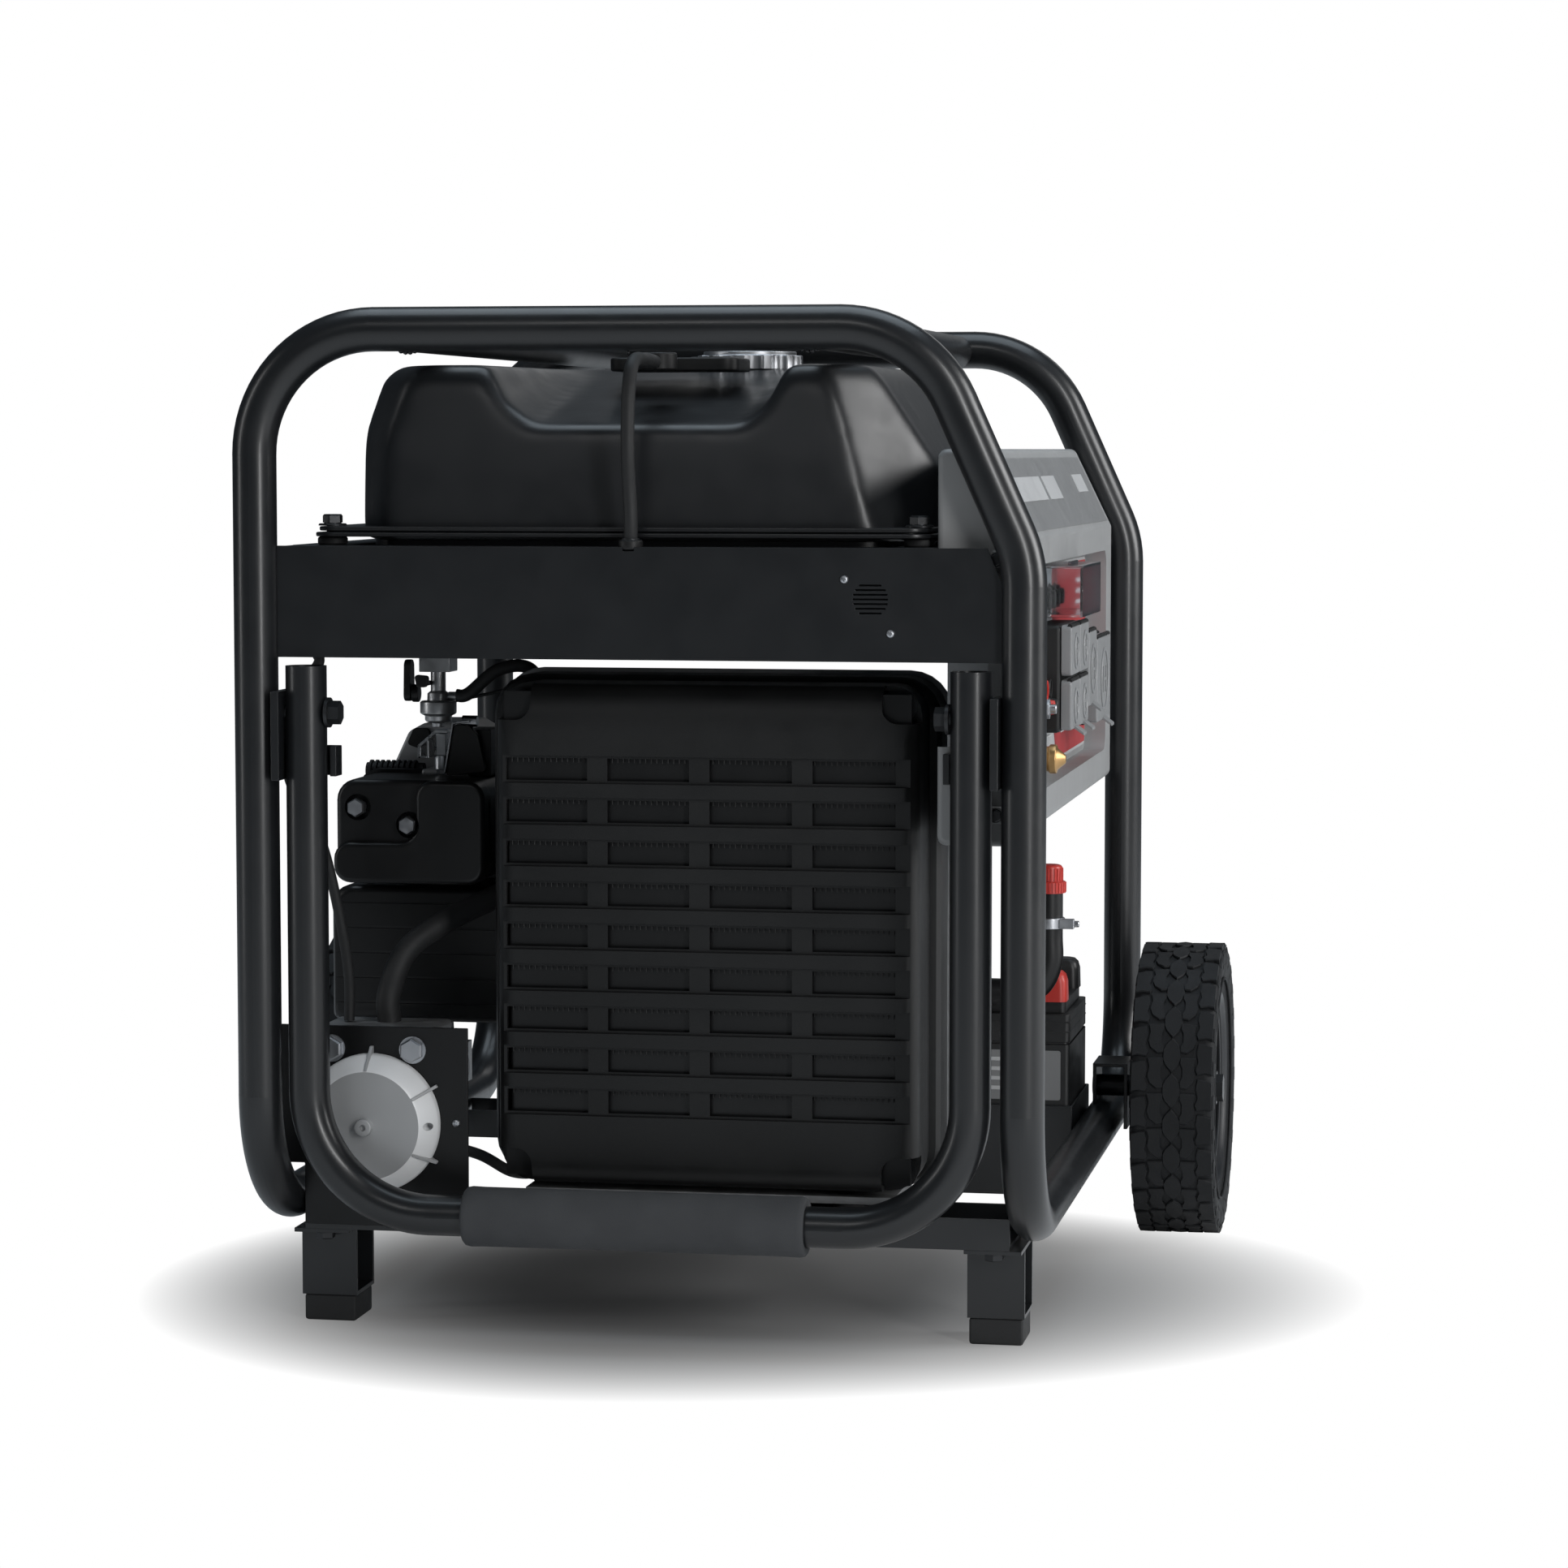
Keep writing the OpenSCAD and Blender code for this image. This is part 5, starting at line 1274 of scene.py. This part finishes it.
decal("panel_film", rounded((66, 405), (644, 565), 11), "decal_grey", 0)
decal("red_zone", filleted([(398, 562.5), (641, 562.5), (641, 407.5), (432, 407.5), (408, 440)], 6),
      "decal_red", 0.4)
lines = bmesh.new()
for y0, y1, z0, z1 in ((268, 396, 428, 429.2), (268, 396, 524, 525.2), (402, 456, 440, 441.2),
                       (460, 566, 426, 427.2), (300, 430, 518, 519)):
    add_block(lines, (SUNK_FACE + 0.6, y0, z0), (255.2, y1, z1))
for row in range(5):
    add_block(lines, (SUNK_FACE + 0.6, 572, 545 - row * 9),
              (255.2, 572 + (60, 48, 54, 40, 50)[row], 548 - row * 9))
for row in range(3):
    add_block(lines, (SUNK_FACE + 0.6, 92, 496 - row * 8), (255.2, 92 + (66, 50, 58)[row], 498.6 - row * 8))
trim(solid("panel_print", lines), "decal_white")
header = bmesh.new()
FACE_DOWN, FACE_OUT = Vector((0.4363, -0.8998)), Vector((0.8998, 0.4363))


def on_header(down, out):
    """A point on the slanted header, so far down it and so far out of it."""
    return tuple(Vector((240, 656)) + FACE_DOWN * down + FACE_OUT * out)


def header_strip(bm, y0, y1, low, high, out, deep=0.5):
    """A thin strip along the slanted header."""
    add_prism(bm, [on_header(low, out), on_header(high, out), on_header(high, out + deep),
                   on_header(low, out + deep)], "y", y0, y1)


header_strip(header, 40, 672, 8, 68, 0.02)
trim(solid("header_film", header), "header_film")
print_bars = bmesh.new()
for y0, y1, low, high in ((150, 330, 24, 44), (345, 430, 24, 44), (560, 632, 24, 40)):
    header_strip(print_bars, y0, y1, low, high, 0.5)
trim(solid("header_bars", print_bars), "decal_grey")

# %% Receptacles under their covers
BODIES = {"pair": ((270, 438), (394, 520.5)), "lock": ((398, 450), (454, 514)),
          "large": ((460, 432), (562, 506))}
blocks = bmesh.new()
for low, high in BODIES.values():
    add_loft(blocks, [[(x, y, z) for y, z in rounded((low[0] + d, low[1] + d), (high[0] - d, high[1] - d), 4)]
                      for x, d in ((SUNK_FACE, 0), (273, 0), (275.2, 0.7), (276, 1.8))])
blocks = solid("receptacle_bodies", blocks)
pins = bmesh.new()
for y in (301, 363):
    for z in (459, 501):
        add_block(pins, (268, y - 8, z - 1), (280, y - 6, z + 8))
        add_block(pins, (268, y + 6, z - 1), (280, y + 8, z + 8))
        add_rod(pins, (268, y, z - 8), (280, y, z - 8), 2.6, 16)
for at_y, at_z, ring, count in ((426, 481, 11, 3), (511, 469, 17, 4)):
    for i in range(count):
        a = math.tau * (i + 0.25) / count
        add_rod(pins, (268, at_y + ring * math.cos(a), at_z + ring * math.sin(a)),
                (280, at_y + ring * math.cos(a), at_z + ring * math.sin(a)), 2.8, 12)
carve(blocks, solid("pins", pins))
piece(blocks, FINISHES["plastic_black"], "root", ["outlets"], 40)

# %% Spring covers with their relief
def spring_cover(name, y, z, tab, ring):
    """A lift-up cover on its hinge barrel. Plug relief stands on its face, and some have a tab to lift it by."""
    bm = bmesh.new()
    add_loft(bm, [[(x, py, pz) for py, pz in rounded((y[0] + d, z[0] + d), (y[1] - d, z[1] - 1.2 - d), 4, 4)]
                  for x, d in ((276.6, 0), (283.2, 0), (284.4, 0.5), (285, 1.5))])
    mid_y, mid_z = (y[0] + y[1]) / 2, (z[0] + z[1]) / 2 - 2
    add_turned(bm, [(ring, 0), (ring, 1.0), (ring - 0.7, 1.6), (ring - 1.9, 1.6), (ring - 2.6, 1.0),
                    (ring - 2.6, 0)], (284.7, mid_y, mid_z), "x", 40)
    for turn in (-1, 1):
        add_block(bm, (284.7, mid_y + turn * ring * 0.36 - 1.3, mid_z - ring * 0.42),
                  (286.1, mid_y + turn * ring * 0.36 + 1.3, mid_z + ring * 0.42))
    add_block(bm, (284.7, mid_y - ring * 0.36, mid_z - 1.2), (285.9, mid_y + ring * 0.36, mid_z + 1.2))
    if tab:
        add_loft(bm, [[(x, py, pz) for py, pz in ((mid_y - 10, h), (mid_y + 10, h), (mid_y + 10, h + 2.2),
                                                  (mid_y - 10, h + 2.2))]
                      for x, h in ((280, z[0] + 1.2), (286, z[0] - 0.2), (292.5, z[0] - 5))])
    piece(soften_edges(solid(name + "_plate", bm), 0.45, 2, 50), FINISHES["cover_grey"], name, [name],
          40)
    barrel = bmesh.new()
    add_rod(barrel, (283, y[0] + 1.5, z[1] - 2), (283, y[1] - 1.5, z[1] - 2), 1.9, 20)
    for k in range(8):
        at_y = y[0] + 6 + k * (y[1] - y[0] - 12) / 7
        add_turned(barrel, [(1.8, -0.8), (2.25, -0.5), (2.25, 0.5), (1.8, 0.8)], (283, at_y, z[1] - 2), "y", 20)
    piece(solid(name + "_barrel", barrel), FINISHES["plastic_black"], name, (), 40)


COVERS = {"upper_cover_1": ((272, 330), (482, 522), False, 14),
          "upper_cover_2": ((334, 392), (482, 522), False, 14),
          "lower_cover_1": ((272, 330), (440, 480), True, 14),
          "lower_cover_2": ((334, 392), (440, 480), True, 14),
          "lock_cover": ((399, 453), (451, 513), True, 20), "large_cover": ((462, 560), (434, 505), True, 26)}
for name, (y, z, tab, ring) in COVERS.items():
    spring_cover(name, y, z, tab, ring)
smoothed_copy("breaker_cover", 1.0, FINISHES["clear_plastic"], 50)

# %% Breakers, posts, display and stud
controls = bmesh.new()
for y in (320, 350, 380, 410):
    add_turned(controls, [(0, 0), (11, 0), (11, 1.4), (9.6, 2), (9, 4), (9, 5.6), (6.4, 6), (6.2, 8.6),
                          (5.4, 9.2), (0, 9.2)], (SUNK_FACE, y, 539), "x", 36)
add_prism(controls, rounded((86, 501), (169, 554), 4), "x", SUNK_FACE, 257.5)
piece(soften_edges(solid("breaker_buttons", controls), 0.4, 1, 50), FINISHES["plastic_black"], "root",
      ["panel_controls"], 40)
glass = bmesh.new()
add_prism(glass, rounded((93, 508), (162, 547), 2), "x", 257.4, 258)
trim(solid("display_glass", glass), "display_glass")
digits = bmesh.new()
SEGMENTS = ((0, 0, 8, 1.6), (0, 8, 8, 9.6), (0, 16, 8, 17.6), (0, 0, 1.6, 9), (6.4, 0, 8, 9),
            (0, 8.6, 1.6, 17.6), (6.4, 8.6, 8, 17.6))
for i in range(4):
    for y0, z0, y1, z1 in SEGMENTS:
        add_block(digits, (257.8, 104 + i * 13 + y0, 519 + z0), (258.3, 104 + i * 13 + y1, 519 + z1))
trim(solid("display_digits", digits), "decal_red")
for name, y, slot in (("red", 236, "red_plastic"), ("black", 258, "plastic_black")):
    post = bmesh.new()
    add_prism(post, rounded((y - 9, 440), (y + 9, 482), 4), "x", SUNK_FACE, 262)
    add_turned(post, [(0, 0), (8, 0), (8.4, 1), (8.4, 7), (7.4, 8), (6, 8.4), (5.2, 14), (0, 14)],
               (262, y, 460), "x", 24)
    add_turned(post, [(6.6, -1), (8, 0), (6.6, 1)], (270, y, 473), "x", 24)
    trim(soften_edges(solid(f"dc_post_{name}", post), 0.5, 1, 50), slot, smooth=40)
stud = bmesh.new()
add_rod(stud, (SUNK_FACE, 214, 460), (280, 214, 460), 3.6, 20)
for x in (255.4, 261.6, 270):
    add_rod(stud, (x, 214, 460), (x + 5, 214, 460), 7.6, 6)
    add_rod(stud, (x - 1.2, 214, 460), (x, 214, 460), 8.6, 24)
trim(soften_edges(solid("ground_stud", stud), 0.4, 1, 40), "zinc", smooth=40)
inlet = bmesh.new()
add_rod(inlet, (SUNK_FACE, 190, 424), (262, 190, 424), 15, 6)
add_turned(inlet, [(0, 0), (12.6, 0), (12.6, 1.6), (11, 2.2), (11, 12), (9.4, 13), (9.4, 15), (11, 16),
                   (11, 21), (8, 22), (3, 28), (0, 28)], (262, 190, 424), "x", 40)
piece(soften_edges(solid("gas_inlet", inlet), 0.5, 1, 40), FINISHES["brass"], "root", ["propane_inlet"],
      40)
button = bmesh.new()
add_turned(button, [(0, 0), (9, 0), (9, 6.8), (8.2, 8), (6.4, 8.2), (5.4, 7.4), (0, 7.2)], (253.5, 200, 500),
           "x", 40)
piece(solid("start_push", button), FINISHES["red_plastic"], "start_button", ["start_button"], 40)
collar = bmesh.new()
add_turned(collar, [(9.35, 0), (13.4, 0), (13.4, 2), (12.4, 3), (9.35, 3)], (254.4, 200, 500), "x", 40)
trim(solid("start_collar", collar), "zinc", smooth=40)
print("panel dressed")


# %% [markdown]
# ## Floor and finish
# A white sheet lies under the machine. For the camera its shadow is a painted shadow. Near the machine the camera sees
# a dim lit sheet, which keeps the real cast shadow, and an oval mask fades it into plain white light further out, so
# that no horizon shows. Other rays see a plain white sheet.

# %% Floor
floor_mesh = bmesh.new()
bmesh.ops.create_grid(floor_mesh, x_segments=1, y_segments=1, size=60)
mesh = bpy.data.meshes.new("floor")
floor_mesh.to_mesh(mesh)
floor_mesh.free()
floor = put("floor", mesh)
paper = bpy.data.materials.new("white_paper")
paper.use_nodes = True
nodes, links = paper.node_tree.nodes, paper.node_tree.links


def maths(operation, *values):
    """A maths step. A value is a number or another node's output."""
    node = nodes.new("ShaderNodeMath")
    node.operation = operation
    for socket, value in zip(node.inputs, values):
        if isinstance(value, (int, float)):
            socket.default_value = value
        else:
            links.new(value, socket)
    return node.outputs[0]


# Painted shadow: an oval round SHADOW_AT, with these half-widths to the left, to the right and in depth, darkens the
# floor the camera sees. SHADOW_EDGE sets how fast it fades to white.
SHADOW_LEFT, SHADOW_RIGHT, SHADOW_DEEP, SHADOW_AT = 0.4, 0.56, 0.415, (-0.043, -0.096)
SHADOW_EDGE = 4.0
spot, turned_spot = nodes.new("ShaderNodeTexCoord"), nodes.new("ShaderNodeVectorRotate")
axes = nodes.new("ShaderNodeSeparateXYZ")
turned_spot.rotation_type = "Z_AXIS"
turned_spot.inputs["Center"].default_value = (*SHADOW_AT, 0)
turned_spot.inputs["Angle"].default_value = -CAMERA_TURN
links.new(spot.outputs["Object"], turned_spot.inputs["Vector"])
links.new(turned_spot.outputs[0], axes.inputs[0])
across = maths("SUBTRACT", axes.outputs["X"], SHADOW_AT[0])
across = maths("ADD", maths("DIVIDE", maths("MAXIMUM", across, 0), SHADOW_RIGHT),
               maths("DIVIDE", maths("MINIMUM", across, 0), SHADOW_LEFT))
deep = maths("DIVIDE", maths("SUBTRACT", axes.outputs["Y"], SHADOW_AT[1]), SHADOW_DEEP)
reach = maths("SQRT", maths("ADD", maths("MULTIPLY", across, across), maths("MULTIPLY", deep, deep)))
painted_shadow_fade = maths("MINIMUM", maths("POWER", reach, SHADOW_EDGE), 1)
seen_by_camera = nodes.new("ShaderNodeLightPath").outputs["Is Camera Ray"]
# The dim sheet is the painted shadow's dark centre: a diffuse sheet of albedo 0.2 that is still lit, so the real cast
# shadow shows in it.
paper_shader, painted_shadow_shader = nodes["Principled BSDF"], nodes.new("ShaderNodeBsdfDiffuse")
paper_shader.inputs["Base Color"].default_value = (0.9, 0.9, 0.9, 1)
paper_shader.inputs["Roughness"].default_value = 0.9
painted_shadow_shader.inputs["Color"].default_value = (0.2, 0.2, 0.2, 1)
glow, shadow, floor_mix = nodes.new("ShaderNodeEmission"), nodes.new("ShaderNodeMixShader"), nodes.new("ShaderNodeMixShader")
for source, target in ((painted_shadow_fade, shadow.inputs["Fac"]), (painted_shadow_shader.outputs[0], shadow.inputs[1]),
                       (glow.outputs[0], shadow.inputs[2]), (seen_by_camera, floor_mix.inputs["Fac"]),
                       (paper_shader.outputs[0], floor_mix.inputs[1]), (shadow.outputs[0], floor_mix.inputs[2]),
                       (floor_mix.outputs[0], nodes["Material Output"].inputs["Surface"])):
    links.new(source, target)
floor.data.materials.append(paper)
